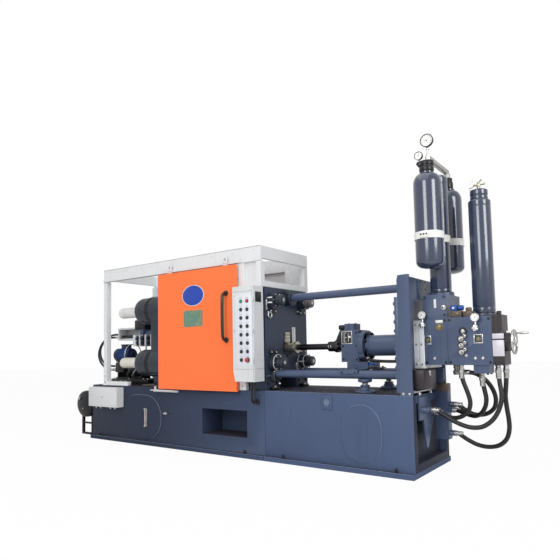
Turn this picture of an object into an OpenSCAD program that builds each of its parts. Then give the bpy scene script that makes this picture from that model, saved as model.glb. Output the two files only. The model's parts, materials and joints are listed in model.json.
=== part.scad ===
// Cold chamber die casting machine: bed in two sections, toggle clamp under a
// sliding guard, injection unit on three rods, and gas bottles over a valve block.
// Millimetres. X runs towards the injection end, the operator stands at minus Y,
// and the origin is the middle of the bed's underside.

/* [Bed] */
// Length of both bed sections together
bed_l = 4000; // [3900:10:4200]
// Length of the clamp side section
bed_left_l = 2585; // [2560:5:2620]
// Width of the bed
bed_w = 780; // [760:10:860]
// Height of the bed's top above the floor
bed_h = 624; // [600:4:660]
// Thickness of the flange round the foot
foot_t = 40; // [30:2:50]
// How far that flange stands out in front and behind
foot_out = 35; // [25:1:45]
// Thickness of the slide ways under the moving platen
way_t = 14; // [10:1:20]

/* [Clamp] */
// Height of the clamp axis above the bed
clamp_z = 546; // [526:2:576]
// Width of the platens
platen_w = 706; // [690:2:740]
// Height of the platens without their feet
platen_h = 840; // [800:4:860]
// Thickness of the fixed platen
fixed_t = 200; // [160:5:240]
// Thickness of the moving platen
moving_t = 180; // [150:5:220]
// Thickness of the rear platen
rear_t = 200; // [160:5:240]
// Space for the die between the platens
die_gap = 450; // [350:10:500]
// Space for the toggle between rear and moving platen
toggle_gap = 556; // [540:4:620]
// Diameter of the tie bars
tie_d = 100; // [85:5:110]
// Tie bar spacing across the machine
tie_across = 500; // [480:5:520]
// Tie bar spacing in height
tie_high = 584; // [560:4:620]
// Length of the geared nuts behind the rear platen
nut_l = 250; // [200:5:260]
// Diameter of the geared nuts
nut_d = 318; // [300:2:326]

/* [Injection] */
// Height of the injection axis above the bed
shot_z = 393; // [376:1:416]
// Outer diameter of the shot sleeve
sleeve_d = 96; // [86:2:110]
// Bore of the shot sleeve
sleeve_bore = 60; // [50:2:70]
// How far the sleeve stands out of the fixed platen
sleeve_out = 124; // [100:2:150]
// Diameter of the plunger rod
plunger_d = 56; // [40:1:58]
// Stroke of the plunger
shot_stroke = 330; // [250:10:340]
// Size of the square shot head
head_w = 180; // [160:4:200]
// Height of the shot head
head_h = 282; // [260:2:300]
// Diameter of the shot cylinder
shot_cyl_d = 182; // [160:2:200]
// Diameter of the three injection rods
rod_d = 72; // [60:2:80]
// Height of the upper injection rod above the bed
rod_top_z = 876; // [846:2:896]
// Height of the lower injection rods above the bed
rod_low_z = 151; // [144:1:156]
// Distance between the two lower injection rods
rod_across = 476; // [440:4:500]
// Height of the end frame above the bed
frame_h = 938; // [920:2:960]
// Depth of the end frame along the machine
frame_d = 100; // [90:1:130]

/* [Valve block and bottles] */
// Side of the square steel flanges and of the valve block
block_w = 376; // [360:2:400]
// Height of the valve block
block_h = 365; // [350:5:390]
// Outer diameter of the piston accumulators
acc_d = 168; // [150:2:180]
// Outer diameter of the gas bottles
bottle_d = 219; // [200:1:230]
// Height of a gas bottle without its valve
bottle_h = 773; // [700:1:850]
// Diameter of the handwheel
wheel_d = 187; // [160:1:220]

/* [Guard] */
// Height of the guard frame above its door's upper edge
guard_h = 158; // [143:1:233]
// Size of the guard's square tube
tube = 60; // [50:2:70]
// Width of the sliding door
door_w = 1081; // [1000:1:1120]
// Height of the sliding door
door_h = 1205; // [1150:1:1215]
// Thickness of the sliding door
door_t = 34; // [25:1:40]
// Travel of the sliding door
door_travel = 780; // [600:10:800]
// Width of the control box
box_w = 250; // [234:2:260]
// Height of the control box
box_h = 878; // [820:2:900]
// Depth of the control box
box_d = 150; // [130:2:170]

/* [Hidden] */
$fn = 48;

left_x = -bed_l / 2;
right_x = bed_l / 2;
seam_x = left_x + bed_left_l;
front_y = -bed_w / 2;
rear_y = bed_w / 2;
gap = 0.3;
axis_z = bed_h + clamp_z;
shot_axis = bed_h + shot_z;
rod_top = bed_h + rod_top_z;
rod_low = bed_h + rod_low_z;
door_z0 = bed_h - 12;
guard_top = door_z0 + door_h + guard_h;

// Platens, from the joint of the bed towards the left
fixed_x1 = seam_x - 9;
fixed_x0 = fixed_x1 - fixed_t;
moving_x1 = fixed_x0 - die_gap;
moving_x0 = moving_x1 - moving_t;
rear_x1 = moving_x0 - toggle_gap;
rear_x0 = rear_x1 - rear_t;
platen_z0 = axis_z - platen_h / 2;
platen_z1 = axis_z + platen_h / 2;
tie_y = tie_across / 2;
tie_z = tie_high / 2;
way_w = 110;
way_y = 230;
tie_end_out = 140;
tie_tail = 374;
tail_cover_d = 124;
front_nut_l = 70;
front_nut_d = 150;
pattern_y = 200;
pattern_z = 150;
tap_d = 17.5;
tap_depth = 45;

// Injection unit, from the fixed platen towards the right
sleeve_x1 = fixed_x1 + sleeve_out;
rod_y = rod_across / 2;
coupling_l = 110;
coupling_d = 111;
piston_rod_d = 70;
rod_bore_d = 74;
plunger_x1 = sleeve_x1 + shot_stroke + 24;
head_x0 = plunger_x1 + coupling_l + 62;
head_l = 174;
ring_l = 60;
ring_d = 270;
frame_x1 = right_x;
frame_x0 = frame_x1 - frame_d;
frame_z1 = bed_h + frame_h;
web_t = 45;
frame_wall = 16;
end_flange_t = 30;
cyl_x0 = head_x0 + head_l + ring_l;
cyl_x1 = frame_x0 - end_flange_t;
steel_x0 = frame_x0 + web_t;
steel_t = 41;
steel_gap = 4;
block_x0 = steel_x0 + 2 * steel_t + steel_gap;
block_l1 = 185;
block_l2 = 330;
block_x1 = block_x0 + block_l1;
block_x2 = block_x1 + block_l2;
block_y = -block_w / 2;
block_z0 = shot_axis + 19 - block_h / 2;
block_z1 = block_z0 + block_h;
upper_h = 186;
column_x = block_x0 + block_l1 / 2 - 4;
right_acc_x = block_x2 - acc_d / 2 - 11;
bottle_x = column_x - 8;
bottle_off = acc_d / 2 + bottle_d / 2 + 12;
bottle_z0 = block_z1 + upper_h + 208;
rear_drop = 48;
bottle_neck_d = 112;
wheel_y = block_y + 88;
wheel_x = block_x2 + 124;
manifold_z1 = bed_h + 66;

// Guard, door and control box
guard_x0 = left_x + 215;
guard_x1 = fixed_x1 - 4;
post_x1 = fixed_x0 - 4;
post_w = 84;
guard_y0 = front_y - 10;
guard_y1 = rear_y + 10;
fascia_h = 145;
rail_z1 = guard_top - fascia_h + 34;
door_y1 = guard_y0 - 20;
door_y0 = door_y1 - door_t;
door_x1 = seam_x - 282;
door_x0 = door_x1 - door_w;
box_x0 = door_x1 + 20;
box_x1 = box_x0 + box_w;
box_y0 = door_y0 - 68;
box_z0 = bed_h + 87;

// Left end
motor_z = bed_h + 346;
pump_z = bed_h + 176;
tank_d = 318;
tank_x = left_x - 290;
tank_z = 376;

function unit(v) = v / norm(v);

// Rings of a tube: one ring of sides points round each point of the route.
function ring(p, t, r, sides) =
    let (u = unit(cross(t, [0.1, 1, 0.05])), v = cross(t, u))
    [for (i = [0:sides - 1]) p + r * (cos(360 * i / sides) * u + sin(360 * i / sides) * v)];

// A tube swept along the points of a route, closed at both ends.
module swept_tube(route, d, sides = 8) {
    n = len(route);
    tangents = [for (i = [0:n - 1]) unit(route[min(i + 1, n - 1)] - route[max(i - 1, 0)])];
    points = [for (i = [0:n - 1]) each ring(route[i], tangents[i], d / 2, sides)];
    walls = [for (i = [0:n - 2]) for (j = [0:sides - 1])
        let (a = i * sides + j, b = i * sides + (j + 1) % sides)
        each [[a, b, b + sides], [a, b + sides, a + sides]]];
    start = [for (j = [sides - 1:-1:0]) j];
    end = [for (j = [0:sides - 1]) (n - 1) * sides + j];
    polyhedron(points, concat([start], walls, [end]), convexity = 4);
}

// A box given by its lowest and highest corners.
module box(low, high) {
    translate(low) cube(high - low);
}

// A round bar along X between two places.
module bar_x(x0, x1, y, z, d) {
    translate([x0, y, z]) rotate([0, 90, 0]) cylinder(d = d, h = x1 - x0);
}

// A round bar along Y between two places.
module bar_y(y0, y1, x, z, d) {
    translate([x, y0, z]) rotate([-90, 0, 0]) cylinder(d = d, h = y1 - y0);
}

// A round bar upright between two heights.
module bar_z(z0, z1, x, y, d) {
    translate([x, y, z0]) cylinder(d = d, h = z1 - z0);
}

// Repeats its children at the four tie bars.
module at_tie_bars() {
    for (y = [-tie_y, tie_y])
        for (z = [axis_z - tie_z, axis_z + tie_z])
            translate([0, y, z]) children();
}

// A plate in the XZ plane with its four corners rounded, thickness along Y.
module round_plate(x0, x1, z0, z1, y0, y1, r) {
    translate([0, y1, 0]) rotate([90, 0, 0]) linear_extrude(y1 - y0)
        polygon(concat(
            [for (a = [180:15:270]) [x0 + r + r * cos(a), z0 + r + r * sin(a)]],
            [for (a = [270:15:360]) [x1 - r + r * cos(a), z0 + r + r * sin(a)]],
            [for (a = [0:15:90]) [x1 - r + r * cos(a), z1 - r + r * sin(a)]],
            [for (a = [90:15:180]) [x0 + r + r * cos(a), z1 - r + r * sin(a)]]));
}

// Hexagon screw heads in a row, upright, pointing along X.
module screw_row(x0, x1, y, zs, d) {
    for (z = zs) translate([x0, y, z]) rotate([0, 90, 0]) cylinder(d = d, h = x1 - x0, $fn = 6);
}

// Clamp side bed section, with its access window and its bolted foot flange.
module bed_left() {
    color([0.20, 0.22, 0.30]) difference() {
        union() {
            box([left_x, front_y, foot_t], [seam_x, rear_y, bed_h]);
            box([left_x, front_y - foot_out, 0], [seam_x, rear_y + foot_out, foot_t]);
        }
        // Access window under the die
        box([fixed_x0 - 582, front_y - 1, 183], [fixed_x0 - 4, front_y + 300, 432]);
        // Joint groove and anchor holes
        box([seam_x - 3, front_y - foot_out - 1, -1], [seam_x + 1, front_y + 3, bed_h + 1]);
        for (x = [left_x + 150, seam_x - 235])
            for (y = [front_y - foot_out + 17, rear_y + foot_out - 17])
                translate([x, y, -1]) cylinder(d = 18, h = foot_t + 2);
    }
}

// Injection side bed section, open at its right end round the pipe fittings.
module bed_right() {
    color([0.33, 0.38, 0.50]) difference() {
        union() {
            box([seam_x, front_y, foot_t], [right_x, rear_y, bed_h]);
            box([seam_x, front_y - foot_out, 0], [right_x, rear_y + foot_out, foot_t]);
        }
        // Recess of the right end
        box([right_x - 60, front_y + 60, foot_t + 60], [right_x + 1, rear_y - 60, bed_h - 60]);
        for (x = [seam_x + 200, right_x - 150])
            for (y = [front_y - foot_out + 17, rear_y + foot_out - 17])
                translate([x, y, -1]) cylinder(d = 18, h = foot_t + 2);
    }
}

// Hardened ways that the moving and rear platens rest on.
module slide_ways() {
    color([0.55, 0.52, 0.47])
        for (y = [-way_y, way_y])
            box([rear_x0 - 230, y - way_w / 2, bed_h], [fixed_x0 - 8, y + way_w / 2, bed_h + way_t]);
}

// Welded hand hole covers on the front and rear of both bed sections.
module bed_covers() {
    cover_t = 9;
    color([0.24, 0.27, 0.36]) {
        for (side = [0, 1]) {
            y0 = side == 0 ? front_y - cover_t : rear_y;
            round_plate(left_x + 560, left_x + 1193, 58, bed_h - 93, y0, y0 + cover_t, 236);
            round_plate(seam_x + 798, seam_x + 1143, 85, bed_h - 86, y0, y0 + cover_t, 172);
        }
        // Tab for the earth bond near the top
        box([seam_x + 605, front_y - 8, bed_h - 134], [seam_x + 708, front_y, bed_h - 12]);
    }
}

// Body shared by the three platens: a plate with tie bar bores.
module platen_body(x0, x1, foot_z, foot_inset) {
    difference() {
        union() {
            box([x0, -platen_w / 2, platen_z0], [x1, platen_w / 2, platen_z1]);
            for (s = [-1, 1])
                box([x0, s > 0 ? 150 : -platen_w / 2 + foot_inset, foot_z],
                    [x1, s > 0 ? platen_w / 2 - foot_inset : -150, platen_z0]);
        }
        at_tie_bars() bar_x(x0 - 1, x1 + 1, 0, 0, tie_d + 2 * gap);
    }
}

// Threaded holes for clamping a die half, on one face of a platen.
module die_holes(x, depth) {
    for (y = [-pattern_y, pattern_y])
        for (z = [axis_z - pattern_z, axis_z + pattern_z])
            bar_x(min(x, x + depth), max(x, x + depth), y, z, tap_d);
}

// Fixed platen, with the bore of the shot sleeve.
module fixed_platen() {
    color([0.25, 0.29, 0.37]) difference() {
        platen_body(fixed_x0, fixed_x1, bed_h, 0);
        bar_x(fixed_x0 - 1, fixed_x1 + 1, 0, shot_axis, sleeve_d + 2 * gap);
        die_holes(fixed_x0 - 1, tap_depth + 1);
    }
}

// Moving platen, with clevis lugs for the toggle on its back.
module moving_platen() {
    color([0.25, 0.29, 0.37]) {
        difference() {
            platen_body(moving_x0, moving_x1, bed_h + way_t, 40);
            die_holes(moving_x1 + 1, -tap_depth - 1);
            bar_x(moving_x0 - 1, moving_x1 + 1, 0, axis_z, 60);
        }
        toggle_lugs(moving_x0, -1);
    }
}

// Rear platen, with round bosses at the tie bars and clevis lugs for the toggle.
module rear_platen() {
    color([0.25, 0.29, 0.37]) {
        difference() {
            union() {
                platen_body(rear_x0, rear_x1, bed_h + way_t, 40);
                at_tie_bars() bar_x(rear_x0, rear_x1, 0, 0, nut_d - 4);
            }
            at_tie_bars() bar_x(rear_x0 - 1, rear_x1 + 1, 0, 0, tie_d + 2 * gap);
            bar_x(rear_x0 - 1, rear_x1 + 1, 0, axis_z, clamp_rod_d + 2);
            for (y = [-guide_y, guide_y])
                bar_x(rear_x1 - 60, rear_x1 + 1, y, axis_z, guide_d + 2 * gap);
        }
        toggle_lugs(rear_x1, 1);
    }
}

// Toggle: pins, links and crosshead, drawn close to the locked position.
clamp_rod_d = 90;
guide_d = 45;
guide_y = 115;
lug_out = 96;
lug_t = 40;
lug_r = 52;
pin_d = 60;
small_pin_d = 40;
toggle_z = 178;
lug_pin = 54;
elbow_x = rear_x1 + 262;
elbow_z = toggle_z - 12;
cross_x = rear_x1 + 314;
cross_z = 96;
link_ys = [-185, 185];

// Lugs with pin bores, two pairs above and two below the axis.
module toggle_lugs(x, dir) {
    for (s = [-1, 1]) for (yc = link_ys) for (e = [-1, 1]) {
        yl = yc + e * 62;
        zc = axis_z + s * toggle_z;
        difference() {
            union() {
                bar_y(yl - lug_t / 2, yl + lug_t / 2, x + dir * lug_pin, zc, 2 * lug_r);
                box([min(x, x + dir * lug_pin), yl - lug_t / 2, zc - lug_r],
                    [max(x, x + dir * lug_pin), yl + lug_t / 2, zc + lug_r]);
            }
            bar_y(yl - lug_t, yl + lug_t, x + dir * lug_pin, zc, pin_d + 2 * gap);
        }
    }
}

// A flat link between two pins, in the XZ plane, with round ends.
module link(p, q, y0, y1, w, dp, dq) {
    d = q - p;
    turn = atan2(d[1], d[0]);
    difference() {
        translate([0, y1, 0]) rotate([90, 0, 0]) linear_extrude(y1 - y0)
            polygon(concat(
                [for (a = [90:15:270]) p + w / 2 * [cos(a + turn), sin(a + turn)]],
                [for (a = [-90:15:90]) q + w / 2 * [cos(a + turn), sin(a + turn)]]));
        bar_y(y0 - 1, y1 + 1, p[0], p[1], dp + 2 * gap);
        bar_y(y0 - 1, y1 + 1, q[0], q[1], dq + 2 * gap);
    }
}

// Rear links, front links and the short links that the crosshead pushes.
module toggle_links() {
    color([0.30, 0.33, 0.40]) for (s = [-1, 1]) for (yc = link_ys) {
        rear_pin = [rear_x1 + lug_pin, axis_z + s * toggle_z];
        elbow = [elbow_x, axis_z + s * elbow_z];
        front_pin = [moving_x0 - lug_pin, axis_z + s * toggle_z];
        cross_pin = [cross_x, axis_z + s * cross_z];
        link(rear_pin, elbow, yc - 41, yc - 1, 100, pin_d, pin_d);
        link(front_pin, elbow, yc + 1, yc + 41, 100, pin_d, pin_d);
        link(cross_pin, elbow, yc - sign(yc) * 62 - 18, yc - sign(yc) * 62 + 18, 70,
            small_pin_d, pin_d);
    }
}

// Pins of the toggle.
module toggle_pins() {
    color([0.7, 0.71, 0.72]) for (s = [-1, 1]) for (yc = link_ys) {
        for (x = [rear_x1 + lug_pin, moving_x0 - lug_pin])
            bar_y(yc - 86, yc + 86, x, axis_z + s * toggle_z, pin_d);
        bar_y(yc - 84, yc + 84, elbow_x, axis_z + s * elbow_z, pin_d);
    }
}

// Crosshead on its two guide rods, with the clamp cylinder's rod.
module crosshead() {
    color([0.45, 0.47, 0.52]) {
        difference() {
            union() {
                box([cross_x - 45, -170, axis_z - 60], [cross_x + 45, 170, axis_z + 60]);
                box([cross_x - 40, -60, axis_z - 140], [cross_x + 40, 60, axis_z + 140]);
                for (s = [-1, 1])
                    bar_y(-100, 100, cross_x, axis_z + s * cross_z, 70);
            }
            for (y = [-guide_y, guide_y])
                bar_x(cross_x - 46, cross_x + 46, y, axis_z, guide_d + 2 * gap);
        }
        for (s = [-1, 1])
            bar_y(-158, 158, cross_x, axis_z + s * cross_z, small_pin_d);
        bar_x(rear_x0 - 20, cross_x - 45, 0, axis_z, clamp_rod_d);
    }
    color([0.75, 0.76, 0.77]) for (y = [-guide_y, guide_y])
        bar_x(rear_x1 - 60, cross_x + 150, y, axis_z, guide_d);
}

// Four tie bars, their threaded tails under round covers.
module tie_bars() {
    tail_x = rear_x0 - nut_l;
    color([0.78, 0.79, 0.80]) at_tie_bars()
        bar_x(tail_x - tie_tail + 10, fixed_x1 + tie_end_out, 0, 0, tie_d);
    color([0.86, 0.86, 0.82]) at_tie_bars()
        bar_x(tail_x - tie_tail, tail_x, 0, 0, tail_cover_d);
}

// Round nuts on the injection side, each with two wrench flats.
module tie_bar_nuts() {
    color([0.16, 0.18, 0.24]) at_tie_bars() difference() {
        bar_x(fixed_x1, fixed_x1 + front_nut_l, 0, 0, front_nut_d);
        bar_x(fixed_x1 - 1, fixed_x1 + front_nut_l + 1, 0, 0, tie_d + 2 * gap);
        for (s = [-1, 1])
            box([fixed_x1 + 25, -front_nut_d, s > 0 ? 60 : -front_nut_d],
                [fixed_x1 + front_nut_l + 1, front_nut_d, s > 0 ? front_nut_d : -60]);
    }
}

// Geared nuts behind the rear platen, which set the die height.
module geared_nuts() {
    teeth = 36;
    root_r = nut_d / 2 - 7;
    color([0.12, 0.13, 0.17]) at_tie_bars() difference() {
        union() {
            translate([rear_x0 - 60, 0, 0]) rotate([0, 90, 0]) linear_extrude(60)
                polygon([for (i = [0:teeth - 1]) for (k = [[0, root_r], [3.4, nut_d / 2],
                    [5.4, nut_d / 2], [8.6, root_r]])
                    k[1] * [cos(360 * i / teeth + k[0]), sin(360 * i / teeth + k[0])]]);
            bar_x(rear_x0 - nut_l, rear_x0 - 60, 0, 0, nut_d - 16);
        }
        bar_x(rear_x0 - nut_l - 1, rear_x0 + 1, 0, 0, tie_d + 2 * gap);
    }
}

// Clamp cylinder on the back of the rear platen.
module clamp_cylinder() {
    color([0.28, 0.32, 0.42]) difference() {
        union() {
            bar_x(rear_x0 - 40, rear_x0, 0, axis_z, 230);
            bar_x(rear_x0 - 430, rear_x0 - 40, 0, axis_z, 176);
            box([rear_x0 - 490, -100, axis_z - 100], [rear_x0 - 430, 100, axis_z + 100]);
        }
        bar_x(rear_x0 - 21, rear_x0 + 1, 0, axis_z, clamp_rod_d + 2);
    }
}

// Ejector cylinder and plate on the back of the moving platen.
module ejector() {
    color([0.35, 0.38, 0.45]) {
        bar_x(moving_x0 - 24, moving_x0, 0, axis_z, 200);
        bar_x(moving_x0 - 150, moving_x0 - 24, 0, axis_z, 120);
    }
}

// Shot sleeve through the fixed platen, with its pouring slot.
module shot_sleeve() {
    color([0.62, 0.55, 0.44]) difference() {
        union() {
            bar_x(fixed_x0, sleeve_x1, 0, shot_axis, sleeve_d);
            bar_x(sleeve_x1 - 26, sleeve_x1, 0, shot_axis, sleeve_d + 14);
        }
        bar_x(fixed_x0 - 1, sleeve_x1 + 1, 0, shot_axis, sleeve_bore);
        box([fixed_x1 + 14, -22, shot_axis], [sleeve_x1 - 34, 22, shot_axis + sleeve_d]);
    }
}

// Plunger: rod and tip inside the sleeve, coupling, striker arm and piston rod.
module plunger() {
    color([0.10, 0.10, 0.11]) {
        bar_x(sleeve_x1 - 30, plunger_x1, 0, shot_axis, plunger_d);
        bar_x(plunger_x1, plunger_x1 + 66, 0, shot_axis, coupling_d - 18);
        bar_x(plunger_x1 + 66, plunger_x1 + coupling_l, 0, shot_axis, coupling_d);
        bar_x(plunger_x1 + coupling_l, head_x0 + shot_stroke + 40, 0, shot_axis, piston_rod_d);
        // Striker arm, rising to the side of the head's guide block
        translate([0, 9, 0]) rotate([90, 0, 0]) linear_extrude(18)
            polygon([[plunger_x1 + 60, shot_axis + 30], [plunger_x1 + coupling_l, shot_axis + 20],
                [head_x0 - 14, shot_axis + 150], [head_x0 - 14, shot_axis + 172],
                [head_x0 - 44, shot_axis + 172]]);
        bar_x(head_x0 - 62, head_x0 - 6, 0, shot_axis + 172, 44);
    }
}

// Shot head, a block with a small guide block on top.
module shot_head() {
    z0 = shot_axis - head_h / 2;
    color([0.36, 0.40, 0.50]) difference() {
        union() {
            box([head_x0, -head_w / 2, z0], [head_x0 + head_l, head_w / 2, z0 + head_h]);
            box([head_x0 + 34, -head_w / 2 + 8, z0 + head_h],
                [head_x0 + 126, head_w / 2 - 40, z0 + head_h + 58]);
        }
        bar_x(head_x0 - 1, head_x0 + head_l + 1, 0, shot_axis, rod_bore_d);
        // Sight window in the front
        box([head_x0 + 14, -head_w / 2 - 1, z0 + head_h - 116],
            [head_x0 + 108, -head_w / 2 + 6, z0 + head_h - 14]);
    }
}

// Front flange of the shot cylinder, with eight lobes for its screws.
module shot_flange() {
    x0 = head_x0 + head_l;
    color([0.22, 0.25, 0.33]) {
        difference() {
            union() {
                bar_x(x0, x0 + ring_l, 0, shot_axis, ring_d);
                for (a = [45:90:315])
                    translate([0, 116 * cos(a), shot_axis + 116 * sin(a)])
                        bar_x(x0, x0 + ring_l, 0, 0, 62);
            }
            bar_x(x0 + ring_l - 12, x0 + ring_l + 1, 0, shot_axis, shot_cyl_d + 2 * gap);
            bar_x(x0 - 1, x0 + ring_l, 0, shot_axis, rod_bore_d);
        }
        for (a = [22.5:45:337.5])
            translate([0, 112 * cos(a), shot_axis + 112 * sin(a)])
                bar_x(x0 + ring_l, x0 + ring_l + 20, 0, 0, 26);
    }
}

// Shot cylinder between its flange and the end frame.
module shot_cylinder() {
    color([0.33, 0.38, 0.48]) {
        difference() {
            bar_x(cyl_x0 - 12 + gap, cyl_x1, 0, shot_axis, shot_cyl_d);
            bar_x(cyl_x0 - 13, head_x0 + shot_stroke + 60, 0, shot_axis, rod_bore_d);
        }
        // Oil port on top near the end
        bar_z(shot_axis + shot_cyl_d / 2 - 8, shot_axis + shot_cyl_d / 2 + 26, cyl_x1 - 60, -40, 48);
    }
}

// Saddle that carries the shot head on the lower rods.
module shot_pedestal() {
    x0 = head_x0 + 70;
    z0 = shot_axis - head_h / 2;
    color([0.30, 0.36, 0.47]) difference() {
        union() {
            box([x0, -120, rod_low + 44], [x0 + 205, 120, z0]);
            box([x0 + 20, -rod_y - 50, rod_low + 4], [x0 + 185, rod_y + 50, rod_low + 44]);
        }
        for (y = [-rod_y, rod_y]) bar_x(x0, x0 + 205, y, rod_low, rod_d + 2 * gap);
    }
}

// Screw jacks that hold the two lower rods up from the bed.
module support_jack() {
    x = head_x0 + 300;
    top = rod_low - rod_d / 2 - gap;
    color([0.28, 0.31, 0.40]) for (y = [-rod_y, rod_y]) translate([x, y, 0]) rotate_extrude() polygon([
        [0, bed_h], [84, bed_h], [84, bed_h + 18], [52, bed_h + 36], [36, bed_h + 66],
        [36, top - 34], [60, top - 26], [60, top], [0, top]]);
}

// One upper and two lower rods between the fixed platen and the end frame.
module injection_rods() {
    color([0.32, 0.37, 0.48]) {
        bar_x(fixed_x1 + 60, frame_x0, 0, rod_top, rod_d);
        for (y = [-rod_y, rod_y]) bar_x(fixed_x1 + 40, cyl_x1, y, rod_low, rod_d);
    }
}

// Mounts of the rods on the fixed platen and their collars at the end frame.
module rod_mounts() {
    color([0.18, 0.21, 0.28]) {
        difference() {
            union() {
                bar_x(fixed_x1, fixed_x1 + 84, 0, rod_top, 132);
                for (i = [0:3])
                    bar_x(fixed_x1 + 22 * i, fixed_x1 + 22 * i + 12, 0, rod_top, 152);
            }
            bar_x(fixed_x1 + 60, fixed_x1 + 85, 0, rod_top, rod_d + 2 * gap);
        }
        for (y = [-rod_y, rod_y]) {
            difference() {
                box([fixed_x1, y - 60, rod_low - 60], [fixed_x1 + 56, y + 60, rod_low + 15]);
                bar_x(fixed_x1 + 40, fixed_x1 + 57, y, rod_low, rod_d + 2 * gap);
            }
        }
        for (p = [[frame_x0, 0, rod_top], [cyl_x1, -rod_y, rod_low],
            [cyl_x1, rod_y, rod_low]]) difference() {
            bar_x(p[0] - 26, p[0], p[1], p[2], 124);
            bar_x(p[0] - 27, p[0] + 1, p[1], p[2], rod_d + 2 * gap);
        }
    }
}

// End frame: a web with a front and a rear wall, open towards the valve block.
module end_frame() {
    r = 40;
    color([0.34, 0.40, 0.50]) {
        box([frame_x0, front_y + frame_wall, bed_h], [frame_x0 + web_t, rear_y - frame_wall,
            frame_z1]);
        for (s = [-1, 1]) {
            y0 = s < 0 ? front_y : rear_y - frame_wall;
            translate([0, y0 + frame_wall, 0]) rotate([90, 0, 0]) linear_extrude(frame_wall)
                polygon(concat([[frame_x0, bed_h], [frame_x1, bed_h], [frame_x1, frame_z1]],
                    [for (a = [90:15:180]) [frame_x0 + r + r * cos(a),
                        frame_z1 - r + r * sin(a)]]));
        }
        // Stiffening rib under the valve block
        box([frame_x0 + web_t, 95, bed_h], [frame_x1, 125, shot_axis - 199]);
        box([frame_x1, 95, manifold_z1 + gap], [frame_x1 + 76, 125, shot_axis - 199]);
        // Trunking cover on the web's upper half
        box([frame_x0 + web_t, -60, shot_axis + 374], [frame_x0 + web_t + 14, 90, frame_z1 - 8]);
    }
}

// Flange plate on the inner side of the end frame, with its rows of screws.
module end_flange() {
    z0 = bed_h + 19;
    z1 = z0 + 748;
    color([0.33, 0.37, 0.47]) box([cyl_x1, front_y + 6, z0], [frame_x0, rear_y - 6, z1]);
    color([0.20, 0.23, 0.30]) for (y = [front_y + 40, rear_y - 40])
        screw_row(cyl_x1 - 20, cyl_x1, y, [for (i = [0:9]) z0 + 50 + 72 * i], 36);
}

// Two ground steel flanges between the end frame and the valve block.
module steel_flanges() {
    color([0.80, 0.81, 0.82]) for (i = [0, 1]) {
        x = steel_x0 + i * (steel_t + steel_gap);
        box([x, -block_w / 2 - 3, shot_axis - 191], [x + steel_t, block_w / 2 + 3, shot_axis + 191]);
        if (i == 0) bar_x(x + steel_t, x + steel_t + steel_gap, 0, shot_axis, 250);
    }
}

// Valve block in two halves, with its sight pockets and bottom flange.
module valve_block() {
    color([0.33, 0.39, 0.50]) {
        difference() {
            box([block_x0, block_y, block_z0], [block_x1 - 2, block_w / 2, block_z1]);
            box([block_x0 + 4, block_y - 1, shot_axis + 4], [block_x0 + 50, block_y + 14, shot_axis + 60]);
        }
        difference() {
            box([block_x1 - 2, block_y, block_z0], [block_x2, block_w / 2, block_z1]);
            box([block_x2 - 127, block_y - 1, shot_axis + 4], [block_x2 - 71, block_y + 14, shot_axis + 60]);
        }
        // Flange plate under the right half
        box([block_x2 - 148, block_y + 16, block_z0 - 62], [block_x2 - 32, block_y + 150, block_z0]);
    }
}

// Block on top of the left half, which carries the column accumulator.
module upper_block() {
    x0 = block_x0;
    color([0.34, 0.40, 0.51]) {
        box([x0, block_y, block_z1], [x0 + 188, 150, block_z1 + upper_h]);
        bar_z(block_z1 + upper_h, block_z1 + upper_h + 22, column_x, 0, acc_d + 36);
    }
}

// Undersides where the hoses leave the block: place, lower and upper height.
hose_unions = [
    [block_x0 + 269, -150, block_z0 - 38.5, block_z0],
    [block_x0 + 209, -80, block_z0 - 79, block_z0],
    [block_x0 + 409, -105, block_z0 - 98.5, block_z0 - 62],
    [block_x0 + 531, -120, block_z0 - 38.5, block_z0],
    [block_x0 + 569, -45, block_z0 - 38.5, block_z0]];

// Cocks, plugs and pilot valves on the front and top of the valve block.
module block_valves() {
    xm = block_x1 + 102;
    color([0.72, 0.73, 0.75]) {
        for (z = [shot_axis + 34, shot_axis - 17, shot_axis - 68]) {
            bar_y(block_y - 26, block_y, xm, z, 34);
            bar_y(block_y - 38, block_y - 26, xm, z, 20);
            bar_y(block_y - 44, block_y, xm + 36, z + 22, 22);
        }
        bar_y(block_y - 20, block_y, block_x0 + 126, shot_axis + 130, 46);
        bar_y(block_y - 24, block_y, block_x0 + 166, block_z1 + 80, 40);
    }
    color([0.35, 0.50, 0.58])
        box([block_x1 + 24, block_y + 10, block_z1 + 50], [block_x1 + 118, block_y + 90, block_z1 + 96]);
    color([0.36, 0.32, 0.30]) {
        box([block_x1 + 24, block_y + 8, block_z1], [block_x1 + 110, block_y + 100, block_z1 + 50]);
        box([block_x1 + 128, block_y + 8, block_z1], [block_x1 + 198, block_y + 78, block_z1 + 44]);
        bar_z(block_z1 + 44, block_z1 + 74, block_x1 + 158, block_y + 43, 46);
    }
    // Hose unions under the block, the second one an elbow
    color([0.74, 0.74, 0.75]) {
        for (u = hose_unions) bar_z(u[2], u[3], u[0], u[1], 46);
        bar_x(block_x0 + 186, block_x0 + 249, -80, block_z0 - 58, 42);
    }
}

// Valve at the end of the block that the handwheel sets.
module end_valve() {
    color([0.14, 0.13, 0.16]) {
        box([block_x2, block_y, shot_axis + 88], [block_x2 + 72, block_y + 180, shot_axis + 206]);
        box([block_x2, block_y, block_z0], [block_x2 + 84, block_y + 180, shot_axis - 64]);
        bar_z(shot_axis + 206, shot_axis + 236, block_x2 + 40, block_y + 70, 34);
    }
    color([0.80, 0.80, 0.80])
        box([block_x2, block_y, shot_axis - 64], [block_x2 + 62, block_y + 176, shot_axis + 88]);
    color([0.30, 0.35, 0.45])
        bar_x(block_x2 + 62, block_x2 + 104, wheel_y, shot_axis + 4, 138);
}

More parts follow.
